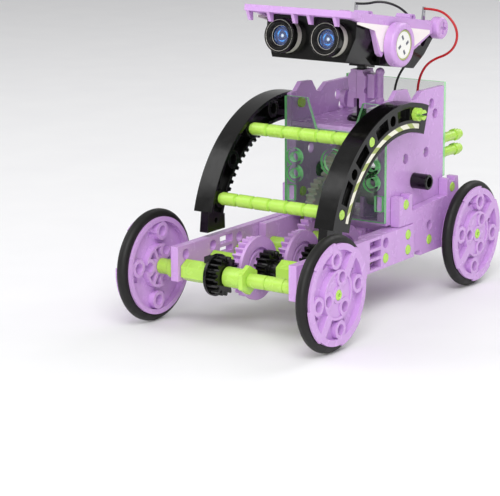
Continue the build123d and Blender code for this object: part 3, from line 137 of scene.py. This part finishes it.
def feed(tree, shader, **inputs):
    """Set or link the shader's inputs; underscores stand for spaces."""
    for name, value in inputs.items():
        socket = shader.inputs[name.replace("_", " ")]
        if isinstance(value, bpy.types.NodeSocket):
            tree.links.new(value, socket)
        else:
            socket.default_value = value


def per_mm(size):
    """Noise scale whose features are about this many millimetres across."""
    return 1.0 / (size * MM)


def maths(tree, operation, *terms, **settings):
    """Result of one operation on numbers or on other nodes' outputs."""
    return add(tree, "ShaderNodeMath", dict(enumerate(terms)), operation=operation,
               **settings).outputs[0]


def remap(tree, value, start, end, low=0.0, high=1.0):
    """Carry a value from the range low to high over to start to end, held at both ends."""
    return add(tree, "ShaderNodeMapRange", {"Value": value, "From Min": low, "From Max": high,
                                            "To Min": start, "To Max": end}).outputs[0]


def mixed(tree, factor, first, second):
    """Two colours mixed; the node has its colour sockets at 6 and 7 and its colour result at 2."""
    return add(tree, "ShaderNodeMix", {"Factor": factor, 6: first, 7: second},
               data_type="RGBA").outputs[2]


def noise(tree, place, size, detail=2.0, distortion=0.0):
    """Noise whose features are about this many millimetres across."""
    return add(tree, "ShaderNodeTexNoise", {"Vector": place, "Scale": per_mm(size),
                                            "Detail": detail, "Distortion": distortion}
               ).outputs["Fac"]


def relief(tree, height, strength, depth, over=None):
    """Normal of a relief this many millimetres deep, laid over another normal if one is given."""
    inputs = {"Height": height, "Strength": strength, "Distance": depth * MM}
    if over is not None:
        inputs["Normal"] = over
    return add(tree, "ShaderNodeBump", inputs).outputs["Normal"]


def eased_edges(tree, radius):
    """Normal that rounds sharp edges to this radius in millimetres."""
    return add(tree, "ShaderNodeBevel", {"Radius": radius * MM}, samples=4).outputs["Normal"]


# ---------------------------------------------------------------- materials
def moulded(name, light, dark, smooth, rough, ripple, edge=0.22, **shading):
    """Moulded or cast skin: faint flow clouds, a fine uneven gloss, a grain and eased edges."""
    material, tree, place, shader = surface(name)
    tone = mixed(tree, noise(tree, place, 11, 3.0), linear(light), linear(dark))
    gloss = remap(tree, noise(tree, place, 4, 5.0, 0.6), smooth, rough, 0.3, 0.7)
    grain = relief(tree, noise(tree, place, 0.8), ripple, 0.05, eased_edges(tree, edge))
    feed(tree, shader, Base_Color=tone, Roughness=gloss, Normal=grain, **shading)
    return material


def clear_styrene():
    """Clear-tinted polystyrene, moulded: a dark green window; its cut edges are painted a lighter
    mint green with a faint emission glow, as painted light.
    """
    material, tree, place, shader = surface("green_clear_styrene")
    eased = eased_edges(tree, 0.15)
    facing = add(tree, "ShaderNodeTexCoord").outputs["Normal"]
    across = add(tree, "ShaderNodeSeparateXYZ", {"Vector": facing}).outputs["Y"]
    # painted light: faces that do not face front or back get a lighter mint green and more opacity,
    # standing in for the light along the cut edges
    edge = remap(tree, maths(tree, "ABSOLUTE", across), 1.0, 0.0, 0.55, 0.9)
    tint_and_painted_edge_glow = mixed(tree, edge, linear("#24602f"), linear("#86dd8e"))
    graze = add(tree, "ShaderNodeLayerWeight", {"Blend": 0.25, "Normal": eased}).outputs["Fresnel"]
    cover = maths(tree, "MULTIPLY_ADD", graze, 0.6, remap(tree, edge, 0.15, 0.6), use_clamp=True)
    # painted glow: the edges give off their lighter green by a faint emission
    feed(tree, shader, Base_Color=tint_and_painted_edge_glow, Alpha=cover, Roughness=0.05,
         Normal=relief(tree, noise(tree, place, 9), 0.1, 0.2, eased), IOR=1.59,
         Emission_Color=tint_and_painted_edge_glow, Emission_Strength=maths(tree, "MULTIPLY", edge, 0.12))
    return material


def motor_can():
    """Zinc-plated steel can, deep drawn: grey, satin, with faint draw lines along it."""
    material, tree, place, shader = surface("motor_can_zinc_plated")
    along = add(tree, "ShaderNodeMapping", {"Vector": place, "Scale": (0.02, 1.0, 1.0)})
    lines = noise(tree, along.outputs["Vector"], 0.6, 3.0)
    feed(tree, shader, Base_Color=mixed(tree, lines, linear("#929193"), linear("#aeadaf")),
         Metallic=0.5, Roughness=remap(tree, lines, 0.28, 0.45),
         Normal=relief(tree, lines, 0.15, 0.03))
    return material


def bright_skin(name, light, dark, rough, metal=1.0):
    """Bright skin of a small part, plated or sprayed: pale, with faint polishing marks."""
    material, tree, place, shader = surface(name)
    marks = noise(tree, place, 0.5, 4.0)
    feed(tree, shader, Base_Color=mixed(tree, marks, linear(light), linear(dark)), Metallic=metal,
         Roughness=remap(tree, marks, rough, rough + 0.15))
    return material


def sticker_film(name, light, dark):
    """Printed polyester label film: flat satin ink under a thin clear layer."""
    material, tree, place, shader = surface(name)
    tone = mixed(tree, noise(tree, place, 0.7, 4.0), linear(light), linear(dark))
    feed(tree, shader, Base_Color=tone, Roughness=0.34,
         Normal=relief(tree, noise(tree, place, 6, 1.0), 0.08, 0.2), IOR=1.5, Coat_Weight=0.2,
         Coat_Roughness=0.2)
    return material


def arch_film():
    """Printed label film on the arches: cream ground, olive blocks and a dark hairline edge."""
    lean = 25.0                      # radians that a block's edge turns for each metre outwards
    blocks, inked = 5.0, 0.42        # blocks for each radian, and the share of each that is olive
    inner_half = 1.12                # half the film's width inside its hairlines
    material, tree, place, shader = surface("arch_label_film")
    split = add(tree, "ShaderNodeSeparateXYZ", {"Vector": place})
    ahead = maths(tree, "SUBTRACT", split.outputs["Y"], ARCH_CENTRE[0] * MM)
    above = maths(tree, "SUBTRACT", split.outputs["Z"], ARCH_CENTRE[1] * MM)
    flat = add(tree, "ShaderNodeCombineXYZ", {"X": ahead, "Y": above}).outputs[0]
    reach = add(tree, "ShaderNodeVectorMath", {0: flat}, operation="LENGTH").outputs["Value"]
    phase = maths(tree, "ADD", maths(tree, "ARCTAN2", ahead, above),
                  maths(tree, "MULTIPLY", reach, lean))
    part = maths(tree, "FRACT", maths(tree, "MULTIPLY", phase, blocks))
    ink = mixed(tree, maths(tree, "LESS_THAN", part, inked), linear("#f2f0dd"), linear("#a9b860"))
    off = maths(tree, "ABSOLUTE", maths(tree, "SUBTRACT", reach, FILM_R * MM))
    rim = maths(tree, "GREATER_THAN", off, inner_half * MM)
    feed(tree, shader, Base_Color=mixed(tree, rim, ink, linear("#4a4a3a")), Roughness=0.32,
         IOR=1.5, Coat_Weight=0.25, Coat_Roughness=0.15)
    return material


def iris_glow():
    """Blue iris disc, printed with broken rings and a white middle, on its own UV map; all of it is
    painted glow, given off by emission though no lamp lights it.
    """
    arms, twist, rings = 3.0, 11.0, 14.0       # radians of pattern: per turn, and per radius
    material, tree, place, shader = surface("blue_iris_painted_glow")
    sheet = add(tree, "ShaderNodeTexCoord").outputs["UV"]
    reach = add(tree, "ShaderNodeVectorMath", {0: sheet}, operation="LENGTH").outputs["Value"]
    split = add(tree, "ShaderNodeSeparateXYZ", {"Vector": sheet})
    angle = maths(tree, "ARCTAN2", split.outputs["Y"], split.outputs["X"])
    swirl = maths(tree, "MULTIPLY_ADD", reach, twist, maths(tree, "MULTIPLY", angle, arms))
    broken = remap(tree, maths(tree, "SINE", swirl), 0.1, 1.0, -0.35, 0.1)
    band = maths(tree, "SINE", maths(tree, "MULTIPLY", reach, rings))
    flecks = add(tree, "ShaderNodeTexNoise", {"Vector": sheet, "Scale": 3.2, "Detail": 3.0,
                                              "Distortion": 1.4}).outputs["Fac"]
    arcs = maths(tree, "MULTIPLY", maths(tree, "MULTIPLY", band, broken), flecks)
    ramp = add(tree, "ShaderNodeValToRGB", {"Fac": arcs})
    stops = ramp.color_ramp.elements
    stops[0].color = linear("#011a55")
    stops[1].position = 0.5
    stops[1].color = linear("#3fb4ff")
    stops.new(0.12).color = linear("#0545a8")
    stops.new(0.3).color = linear("#0f74de")
    # the white middle and the fade to dark blue towards the rim are painted into the glow colour
    core = remap(tree, reach, 1.0, 0.0, 0.08, 0.22)
    lit = mixed(tree, core, ramp.outputs["Color"], linear("#f4fbff"))
    rim_fade = remap(tree, reach, 0.0, 0.75, 0.82, 1.0)
    # painted glow: the disc gives off this colour by emission, though no lamp lights the real eye
    feed(tree, shader, Base_Color=linear("#061634"), Roughness=0.15, IOR=1.49,
         Emission_Color=mixed(tree, rim_fade, lit, linear("#0a1f4d")), Emission_Strength=0.95,
         Coat_Weight=0.5)
    return material


def clear_acrylic():
    """Clear acrylic, moulded as a low dome: almost all highlight."""
    material, tree, place, shader = surface("clear_acrylic_dome")
    feed(tree, shader, Base_Color=linear("#dfeeff"),
         Roughness=remap(tree, noise(tree, place, 5), 0.02, 0.06), IOR=1.49, Alpha=0.05,
         Coat_Weight=0.6, Coat_Roughness=0.03)
    return material


def silicon_cell():
    """Polycrystalline silicon: blue crystals a few millimetres across, dulled by their coating."""
    material, tree, place, shader = surface("silicon_cell_cut")
    crystal = add(tree, "ShaderNodeTexVoronoi", {"Vector": place, "Scale": per_mm(3.2)})
    shade = add(tree, "ShaderNodeSeparateColor", {"Color": crystal.outputs["Color"]})
    feed(tree, shader,
         Base_Color=mixed(tree, shade.outputs[0], linear("#142a66"), linear("#2a4c9c")),
         Roughness=remap(tree, shade.outputs[1], 0.4, 0.55), Specular_IOR_Level=0.2)
    return material


def studio_floor():
    """Matt white board that the robot stands on."""
    material, tree, place, shader = surface("matt_white_board")
    tone = mixed(tree, noise(tree, place, 40, 4.0), linear("#f7f7f8"), linear("#f1f1f3"))
    feed(tree, shader, Base_Color=tone, Roughness=0.75)
    return material


# ABS, injection moulded against a polished tool: opaque lavender, glossy, faint flow
PURPLE = moulded("lavender_abs_moulded", "#d0a5e0", "#cca0dc", 0.2, 0.3, 0.015, IOR=1.53,
                 Subsurface_Weight=0.1, Subsurface_Scale=0.002, Subsurface_Radius=(1.0, 0.5, 0.9))
# ABS, injection moulded: lime green, glossy, light glowing a little through thin walls
GREEN = moulded("lime_abs_moulded", "#b9e460", "#b2de56", 0.2, 0.3, 0.015, IOR=1.53,
                Subsurface_Weight=0.15, Subsurface_Scale=0.003, Subsurface_Radius=(0.6, 1.0, 0.2))
# ABS, injection moulded: deep black that picks up smudges and sharp highlights
BLACK = moulded("black_abs_moulded", "#050504", "#0a0909", 0.12, 0.26, 0.03, 0.35, IOR=1.42)
# acetal, injection moulded: the milky white of small inner gears, waxy rather than glossy
WHITE = moulded("white_acetal_moulded", "#e9e7de", "#dedbd0", 0.35, 0.5, 0.15, IOR=1.48,
                Subsurface_Weight=0.2, Subsurface_Scale=0.002)
# natural rubber, compression moulded: near black, satin, with a dusty bloom in places
RUBBER = moulded("black_rubber_moulded", "#0e0d0c", "#151413", 0.42, 0.6, 0.2, 0.1, IOR=1.42)
# clear epoxy poured over the panel's dark board: blue-black with a soft wavy sheen
EPOXY = moulded("solar_epoxy_cast", "#0b1226", "#121a33", 0.32, 0.45, 0.06,
                Specular_IOR_Level=0.25)
# PVC wire insulation, extruded: soft gloss with a faint drag
BLACK_LEAD = moulded("black_pvc_extruded", "#151515", "#222222", 0.3, 0.42, 0.1, 0.05, IOR=1.53)
RED_LEAD = moulded("red_pvc_extruded", "#c8141a", "#a80f16", 0.3, 0.42, 0.1, 0.05, IOR=1.53)
# nickel plate on the terminals and the panel's silver lines, and silver paint on the eye sleeves
BRIGHT = bright_skin("nickel_plate_polished", "#d9d9dc", "#b9b9be", 0.12)
SATIN = bright_skin("silver_paint_sprayed", "#dedad2", "#ccc8c0", 0.45, 0.25)
# label films: the cheeks' cream, and the white, lime and grey of the ear badges
CREAM = sticker_film("cheek_label_film", "#fff8f6", "#f6eeec")
BADGE_WHITE = sticker_film("badge_label_white", "#fbfaf6", "#f1f0ea")
BADGE_LIME = sticker_film("badge_label_lime", "#b4bf74", "#a7b267")
BADGE_GREY = sticker_film("badge_label_grey", "#5f6270", "#4c4f5c")
ARCH_FILM = arch_film()
CLEAR = clear_styrene()
CAN = motor_can()
IRIS = iris_glow()
DOME = clear_acrylic()
CELL = silicon_cell()

FINISHES = {
    "purple_plastic": PURPLE, "green_plastic": GREEN, "black_plastic": BLACK,
    "white_plastic": WHITE, "tyre_rubber": RUBBER, "clear_green": CLEAR, "motor_can": CAN,
    "bright_metal": BRIGHT, "lens_blue": IRIS, "sticker_paper": CREAM, "solar_glass": EPOXY,
    "lead_black": BLACK_LEAD, "lead_red": RED_LEAD,
}


def dress(node, material):
    """Give a node of the frame its finish."""
    node.data.materials.clear()
    node.data.materials.append(material)


for entry in frame["record"]["subparts"]:
    dress(nodes[entry["node"]], FINISHES[entry["material_slot"]])
dress(nodes["arch_stickers"], ARCH_FILM)
dress(nodes["eye_sleeves"], SATIN)

# ---------------------------------------------------------------- leads
black_route = (
    (-16.8, 55.4, 136.6), (-11.4, 55.4, 136.6), (-5.6, 57.6, 138.2), (0.2, 61.8, 136.8),
    (4.8, 66.0, 133.0), (8.0, 68.4, 127.0), (9.4, 69.2, 120.2), (8.2, 68.4, 113.4),
    (5.6, 65.8, 107.4), (3.8, 61.6, 102.0), (3.6, 58.2, 96.0), (4.2, 57.0, 89.4),
    (4.2, 57.0, 83.0),
)
red_route = (
    (21.4, 55.4, 136.4), (26.6, 55.4, 136.4), (31.8, 55.0, 135.4), (36.2, 54.8, 132.6),
    (39.4, 54.8, 128.2), (40.0, 54.8, 123.0), (37.8, 54.8, 118.2), (33.8, 54.8, 115.0),
    (28.6, 54.8, 113.0), (24.0, 55.0, 110.2), (20.6, 55.4, 106.0), (18.4, 56.0, 101.0),
    (17.4, 56.6, 95.4), (17.2, 57.0, 89.0), (17.2, 57.0, 82.6),
)


def tube_along(name, route, diameter):
    """Tube mesh round one smooth line through the route's points, and the centres of its rings."""
    line = bpy.data.curves.new(name + "_line", "CURVE")
    line.dimensions = "3D"
    line.resolution_u = 10
    spline = line.splines.new("NURBS")
    spline.points.add(len(route) - 1)
    for point, place in zip(spline.points, route):
        point.co = (*(Vector(place) * MM), 1.0)
    spline.order_u = 3
    spline.use_endpoint_u = True
    guide = bpy.data.objects.new(name + "_line", line)
    centres = [vertex.co.copy() for vertex in bpy.data.meshes.new_from_object(guide).vertices]
    line.bevel_depth = diameter / 2 * MM
    line.bevel_resolution = 4
    line.use_fill_caps = True
    tube = bpy.data.meshes.new_from_object(guide)
    bpy.data.objects.remove(guide)
    bm = bmesh.new()
    bm.from_mesh(tube)
    bmesh.ops.remove_doubles(bm, verts=bm.verts, dist=1e-6)
    bmesh.ops.recalc_face_normals(bm, faces=bm.faces)
    bm.to_mesh(tube)
    bm.free()
    return tube, centres


def lead(name, route, material, slot):
    """Thin wire from its terminal to its hole in the tray."""
    tube, centres = tube_along(name, route, LEAD_D)
    tube.name = name
    tube.materials.clear()
    tube.materials.append(material)
    for face in tube.polygons:
        face.use_smooth = True
    wire = bpy.data.objects.new(name, tube)
    scene.collection.objects.link(wire)
    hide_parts(slot)
    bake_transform(wire)


lead("black_lead_wire", black_route, BLACK_LEAD, "black_lead")
lead("red_lead_wire", red_route, RED_LEAD, "red_lead")


# ---------------------------------------------------------------- mesh helpers
HEAD_FRAME = Matrix.Translation(HEAD_AXIS) @ Matrix.Rotation(radians(-HEAD_PITCH), 4, "X")
TO_METRES = Matrix.Diagonal((MM, MM, MM, 1))
TO_MILLIMETRES = Matrix.Diagonal((1 / MM, 1 / MM, 1 / MM, 1))
CREASE = 35                          # edges sharper than this stay hard


def soften(mesh):
    """Shade a mesh smooth, except across its hard edges."""
    for face in mesh.polygons:
        face.use_smooth = True
    mesh.set_sharp_from_angle(angle=radians(CREASE))


def finish_mesh(name, bm, material, body):
    """Turn millimetres into metres, close up the normals and hand the piece to its body."""
    bmesh.ops.remove_doubles(bm, verts=bm.verts, dist=0.001)
    bmesh.ops.recalc_face_normals(bm, faces=bm.faces)
    bmesh.ops.scale(bm, vec=(MM, MM, MM), verts=bm.verts)
    mesh = bpy.data.meshes.new(name)
    bm.to_mesh(mesh)
    bm.free()
    mesh.materials.append(material)
    piece = bpy.data.objects.new(name, mesh)
    scene.collection.objects.link(piece)
    soften(mesh)
    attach(piece, body)
    return piece


def turned(profile, place, steps=72, closed=False):
    """Surface turned from (radius, height) pairs about the local Z of `place`."""
    bm = bmesh.new()
    rings = []
    for radius, height in profile:
        if radius == 0:
            rings.append([bm.verts.new(place @ Vector((0, 0, height)))] * steps)
            continue
        rings.append([bm.verts.new(place @ Vector((radius * cos(2 * pi * i / steps),
                                                   radius * sin(2 * pi * i / steps), height)))
                      for i in range(steps)])
    pairs = list(zip(rings, rings[1:]))
    if closed:
        pairs.append((rings[-1], rings[0]))
    for low, high in pairs:
        for i in range(steps):
            j = (i + 1) % steps
            corners = []
            for v in (low[i], low[j], high[j], high[i]):
                if v not in corners:
                    corners.append(v)
            if len(corners) > 2:
                bm.faces.new(corners)
    return bm


def middle(name):
    """Middle of a node's box, in millimetres."""
    low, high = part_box(name)
    return (Vector(low) + Vector(high)) / 2 / MM


# ---------------------------------------------------------------- tyres
def tyre(corner, body):
    """Round-section tyre with the fine line that its mould leaves all round."""
    centre = middle(f"{corner}_tyre")
    profile = []
    for a in (2 * pi * i / 40 for i in range(40)):
        on_line = abs(sin(a)) <= PARTING_SPAN and cos(a) > 0
        section = TYRE_SECTION - (PARTING_SINK if on_line else 0.0)
        profile.append((TYRE_R - TYRE_SECTION + section * cos(a), TYRE_SECTION * sin(a)))
    place = Matrix.Translation(centre) @ Matrix.Rotation(radians(90), 4, "Y")
    piece = finish_mesh(f"{corner}_tyre_rubber", turned(profile, place, 128, closed=True), RUBBER,
                        body)
    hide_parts(f"{corner}_tyre")


for corner in ("front_left", "front_right", "rear_left", "rear_right"):
    tyre(corner, corner.split("_")[0] + "_axle")


# ---------------------------------------------------------------- eyes
def eye(label, side):
    """Stepped black bezel with two satin rings, the outer one a painted highlight along its outer
    lip, an iris painted as glowing and a clear dome, in the eye's hood.
    """
    place = (HEAD_FRAME @ Matrix.Translation((side * EYE_X, EYE_FRONT, EYE_RISE))
             @ Matrix.Rotation(radians(90), 4, "X"))
    rim = HOOD_R - 0.05
    bezel = (
        (IRIS_R, 2.4), (IRIS_R, 5.4), (4.9, 5.7), (4.9, 6.3), (5.5, 6.9),         # bore and steps
        (5.5, 7.2), (5.9, 7.3), (6.3, 7.2), (6.5, 6.95), (rim - 0.9, 6.95),       # inner lip
        (rim - 0.7, 7.35), (rim - 0.25, 7.4), (rim, 7.15),                        # outer lip
        (rim, 6.6), (4.98, 6.6), (4.98, 2.4),                                     # back
    )
    finish_mesh(f"eye_bezel_{label}", turned(bezel, place, closed=True), BLACK, "head")
    # two pale satin rings: one round the iris, and one on the bezel's outer lip that stands in for
    # the highlight there, a painted highlight
    for number, (ring_r, rise) in enumerate(((IRIS_R + 0.16, 5.62), (rim - 0.82, 7.12)), 1):
        hoop = [(ring_r + EYE_RING_WIRE * cos(i * pi / 4), rise + EYE_RING_WIRE * sin(i * pi / 4))
                for i in range(8)]
        finish_mesh(f"eye_ring_{number}_{label}", turned(hoop, place, closed=True), SATIN, "head")
    face = ((0, IRIS_RISE), (2.0, IRIS_RISE), (IRIS_R + 0.05, IRIS_RISE))
    disc = finish_mesh(f"eye_iris_{label}", turned(face, place), IRIS, "head")
    sheet = disc.data.uv_layers.new(name="iris")
    back = place.inverted()
    for loop in disc.data.loops:
        local = back @ (disc.data.vertices[loop.vertex_index].co / MM)
        sheet.data[loop.index].uv = (local.x / IRIS_R, local.y / IRIS_R)
    foot = IRIS_RISE + DOME_LIFT
    dome = [(IRIS_R * sin(i * pi / 20), foot + DOME_RISE * cos(i * pi / 20))
            for i in range(1, 11)]
    glass = ((0, foot + DOME_RISE), *dome, (IRIS_R, foot - 0.03), (0, foot - 0.03))
    finish_mesh(f"eye_dome_{label}", turned(glass, place), DOME, "head")
    return disc


irises = [eye("left", 1), eye("right", -1)]
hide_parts("eye_lenses")

# ---------------------------------------------------------------- geometry trees for repeats
def new_tree(name, numbers, counts):
    """Empty geometry tree with named inputs for its sizes, its counts and its material."""
    tree = bpy.data.node_groups.new(name, "GeometryNodeTree")
    tree.interface.new_socket(name="Geometry", in_out="OUTPUT", socket_type="NodeSocketGeometry")
    for label in numbers:
        tree.interface.new_socket(name=label, in_out="INPUT", socket_type="NodeSocketFloat")
    for label in counts:
        tree.interface.new_socket(name=label, in_out="INPUT", socket_type="NodeSocketInt")
    tree.interface.new_socket(name="Material", in_out="INPUT", socket_type="NodeSocketMaterial")
    return tree, add(tree, "NodeGroupInput").outputs


def close_tree(tree, shape, given):
    """Make instances real, give the shape its material and end the tree."""
    real = add(tree, "GeometryNodeRealizeInstances", {"Geometry": shape})
    painted = add(tree, "GeometryNodeSetMaterial", {"Geometry": real.outputs["Geometry"],
                                                    "Material": given["Material"]})
    add(tree, "NodeGroupOutput", {"Geometry": painted.outputs["Geometry"]})
    return tree


def plate_grid_tree():
    """Thin plates on a rectangular grid in the XY plane, centred on the origin."""
    tree, given = new_tree("plate_grid", ("Width", "Length", "Thickness", "Pitch X", "Pitch Y"),
                           ("Columns", "Rows"))
    spans = [maths(tree, "MULTIPLY", maths(tree, "SUBTRACT", given[count], 1.0), given[pitch])
             for count, pitch in (("Columns", "Pitch X"), ("Rows", "Pitch Y"))]
    grid = add(tree, "GeometryNodeMeshGrid", {"Size X": spans[0], "Size Y": spans[1],
                                              "Vertices X": given["Columns"],
                                              "Vertices Y": given["Rows"]})
    size = add(tree, "ShaderNodeCombineXYZ", {"X": given["Width"], "Y": given["Length"],
                                              "Z": given["Thickness"]})
    plate = add(tree, "GeometryNodeMeshCube", {"Size": size.outputs[0]})
    laid = add(tree, "GeometryNodeInstanceOnPoints", {"Points": grid.outputs["Mesh"],
                                                      "Instance": plate.outputs["Mesh"]})
    return close_tree(tree, laid.outputs["Instances"], given)


def plate_ring_tree():
    """Thin plates spaced evenly on a circle in the XY plane, each with its length pointing out."""
    tree, given = new_tree("plate_ring", ("Radius", "Width", "Length", "Thickness", "Lean"),
                           ("Count",))
    circle = add(tree, "GeometryNodeMeshCircle", {"Radius": given["Radius"],
                                                  "Vertices": given["Count"]})
    size = add(tree, "ShaderNodeCombineXYZ", {"X": given["Length"], "Y": given["Width"],
                                              "Z": given["Thickness"]})
    plate = add(tree, "GeometryNodeMeshCube", {"Size": size.outputs[0]})
    index = add(tree, "GeometryNodeInputIndex")
    share = maths(tree, "DIVIDE", index.outputs[0], given["Count"])
    turn = maths(tree, "MULTIPLY_ADD", share, 2 * pi, given["Lean"])
    spin = add(tree, "ShaderNodeCombineXYZ", {"Z": turn})
    laid = add(tree, "GeometryNodeInstanceOnPoints", {"Points": circle.outputs["Mesh"],
                                                      "Instance": plate.outputs["Mesh"],
                                                      "Rotation": spin.outputs[0]})
    return close_tree(tree, laid.outputs["Instances"], given)


def ribbed_bar_tree():
    """Round bar along X: equal sections with rounded shoulders and a groove between them."""
    tree, given = new_tree("ribbed_bar", ("Length", "Radius", "Pitch", "Groove", "Shoulder",
                                          "Groove Depth"), ("Samples",))
    ends = [add(tree, "ShaderNodeCombineXYZ", {"X": maths(tree, "MULTIPLY", given["Length"], half)})
            for half in (-0.5, 0.5)]
    line = add(tree, "GeometryNodeCurvePrimitiveLine", {"Start": ends[0].outputs[0],
                                                        "End": ends[1].outputs[0]})
    fine = add(tree, "GeometryNodeResampleCurve", {"Curve": line.outputs["Curve"],
                                                   "Count": given["Samples"]})
    along = add(tree, "GeometryNodeSplineParameter").outputs["Length"]
    past = maths(tree, "MODULO", along, given["Pitch"])
    near = maths(tree, "MINIMUM", past, maths(tree, "SUBTRACT", given["Pitch"], past))
    low = maths(tree, "SUBTRACT", given["Radius"], given["Groove Depth"])
    swell = add(tree, "ShaderNodeMapRange", {"Value": near, "From Min": given["Groove"],
                                             "From Max": given["Shoulder"], "To Min": low,
                                             "To Max": given["Radius"]},
                interpolation_type="SMOOTHSTEP")
    ring = add(tree, "GeometryNodeCurvePrimitiveCircle", {"Resolution": 36, "Radius": 1.0})
    skin = add(tree, "GeometryNodeCurveToMesh", {"Curve": fine.outputs["Curve"],
                                                 "Profile Curve": ring.outputs["Curve"],
                                                 "Scale": swell.outputs[0], "Fill Caps": True})
    return close_tree(tree, skin.outputs["Mesh"], given)


PLATE_GRID = plate_grid_tree()
PLATE_RING = plate_ring_tree()
RIBBED_BAR = ribbed_bar_tree()


def grown(name, tree, sizes, material, place, body):
    """Run a geometry tree, set its mesh in place and hand it to its body as a plain mesh.

    Lengths are in millimetres; Lean is in radians, and whole numbers are counts.
    """
    seed = bpy.data.objects.new(name, bpy.data.meshes.new(name))
    scene.collection.objects.link(seed)
    maker = seed.modifiers.new("grow", "NODES")
    maker.node_group = tree
    for socket in tree.interface.items_tree:
        if socket.item_type == "SOCKET" and socket.in_out == "INPUT":
            value = material if socket.name == "Material" else sizes[socket.name]
            if isinstance(value, float) and socket.name != "Lean":
                value *= MM
            maker[socket.identifier] = value
    bpy.context.view_layer.update()
    shape = seed.evaluated_get(bpy.context.evaluated_depsgraph_get())
    mesh = bpy.data.meshes.new_from_object(shape)
    seed.modifiers.remove(maker)
    seed.data = mesh
    soften(mesh)
    mesh.transform(TO_METRES @ place @ TO_MILLIMETRES)
    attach(seed, body)
    return seed


# ---------------------------------------------------------------- bars between the arches
for number, angle in enumerate(BAR_ANGLES, 1):
    bar_y = ARCH_CENTRE[0] - ARCH_PIN_R * sin(radians(angle))
    bar_z = ARCH_CENTRE[1] + ARCH_PIN_R * cos(radians(angle))
    spot = Matrix.Translation((0, bar_y, bar_z))
    grown(f"cross_bar_{number}", RIBBED_BAR,
                      {"Length": BAR_LENGTH, "Radius": BAR_R, "Pitch": BAR_LENGTH / BAR_SECTIONS,
                       "Groove": 0.25, "Shoulder": 1.0, "Groove Depth": 1.0, "Samples": 361},
                      GREEN, spot, "chassis")
    for label, side in (("left", 1), ("right", -1)):
        root = (spot @ Matrix.Translation((side * (ARCH_NEAR - BAR_END_ROOT), 0, 0))
                @ Matrix.Rotation(side * radians(90), 4, "Y"))
        tip = ARCH_FAR - ARCH_NEAR + BAR_END_ROOT
        profile = ((0, 0), (BAR_END_R, 0), (BAR_END_R, tip - 0.4),
                   (BAR_END_R - BAR_END_EASE, tip), (BAR_END_BORE, tip), (0, tip - 0.5))
        finish_mesh(f"cross_bar_{number}_end_{label}", turned(profile, root, 36), GREEN, "chassis")
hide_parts("cross_bars")

# ---------------------------------------------------------------- ear badges
BADGE_DISC = ((0, BADGE_RISE), (BADGE_R, BADGE_RISE), (BADGE_R, BADGE_LIFT), (0, BADGE_LIFT))
BADGE_RING = ((BADGE_R + 0.02, BADGE_LIFT), (BADGE_R + 0.02, BADGE_RING_RISE),
              (BADGE_RING_R, BADGE_RING_RISE), (BADGE_RING_R, BADGE_LIFT))
for label, side in (("left", 1), ("right", -1)):
    seat = (HEAD_FRAME @ Matrix.Translation((side * EAR_FACE, *EAR_AT))
            @ Matrix.Rotation(side * radians(90), 4, "Y"))
    body = f"ear_{label}"
    finish_mesh(f"ear_badge_{label}", turned(BADGE_DISC, seat), BADGE_WHITE, body)
    finish_mesh(f"ear_badge_ring_{label}", turned(BADGE_RING, seat, closed=True), BADGE_LIME, body)
    grown(f"ear_badge_slots_{label}", PLATE_RING,
          {"Radius": 3.5, "Width": 1.3, "Length": 2.3, "Thickness": 0.1, "Lean": 0.35, "Count": 4},
          BADGE_GREY, seat @ Matrix.Translation((0, 0, BADGE_RISE + 0.02))
          @ Matrix.Rotation(radians(SLOT_TURN), 4, "Z"), body)

# ---------------------------------------------------------------- solar cells
panel_face = HEAD_FRAME @ Matrix.Translation(PANEL_AT)
grown("solar_cells", PLATE_GRID,
      {"Width": CELL_SIZE[0], "Length": CELL_SIZE[1], "Thickness": 0.12,
       "Pitch X": CELL_SIZE[0] + CELL_GAP, "Pitch Y": CELL_SIZE[1] + CELL_GAP,
       "Columns": 2, "Rows": 4}, CELL, panel_face, "head")
grown("solar_fingers", PLATE_GRID,
      {"Width": 0.2, "Length": 62.4, "Thickness": 0.18, "Pitch X": 3.86, "Pitch Y": 1.0,
       "Columns": 12, "Rows": 1}, BRIGHT, panel_face, "head")
grown("solar_busbars", PLATE_GRID,
      {"Width": 45.6, "Length": 0.5, "Thickness": 0.2, "Pitch X": 1.0, "Pitch Y": 7.9,
       "Columns": 1, "Rows": 8}, BRIGHT, panel_face, "head")

# ---------------------------------------------------------------- stage and light
FLOOR_HALF = 3.0                     # metres
floor_mesh = bpy.data.meshes.new("floor")
corners = [(x * FLOOR_HALF, y * FLOOR_HALF, 0) for x, y in ((-1, -1), (1, -1), (1, 1), (-1, 1))]
floor_mesh.from_pydata(corners, [], [(0, 1, 2, 3)])
floor_mesh.materials.append(studio_floor())
floor = bpy.data.objects.new("floor", floor_mesh)
scene.collection.objects.link(floor)
floor.location.z = -0.2 * MM         # just clear of the tyres


def softbox(name, place, target_z, size, power):
    """Square area lamp aimed at a point on the robot's middle line; metres and watts."""
    lamp = bpy.data.lights.new(name, "AREA")
    lamp.size = size
    lamp.energy = power
    item = bpy.data.objects.new(name, lamp)
    item.location = place
    aim = Vector((0, 0, target_z)) - Vector(place)
    item.rotation_euler = aim.to_track_quat("-Z", "Y").to_euler()
    scene.collection.objects.link(item)


softbox("key_softbox", (0.55, -0.75, 0.95), 0.05, 0.7, 9.0)
softbox("left_softbox", (-0.9, -0.5, 0.7), 0.06, 0.8, 4.0)
softbox("rear_softbox", (0.3, 0.9, 0.9), 0.06, 0.7, 4.0)
softbox("low_front_softbox", (0.5, -0.9, 0.25), 0.05, 0.4, 1.5)

world = bpy.data.worlds.new("studio")
world.use_nodes = True
sky = world.node_tree.nodes["Background"].inputs
sky["Color"].default_value = linear("#ffffff")
sky["Strength"].default_value = 0.5
scene.world = world
scene.view_settings.view_transform = "Standard"
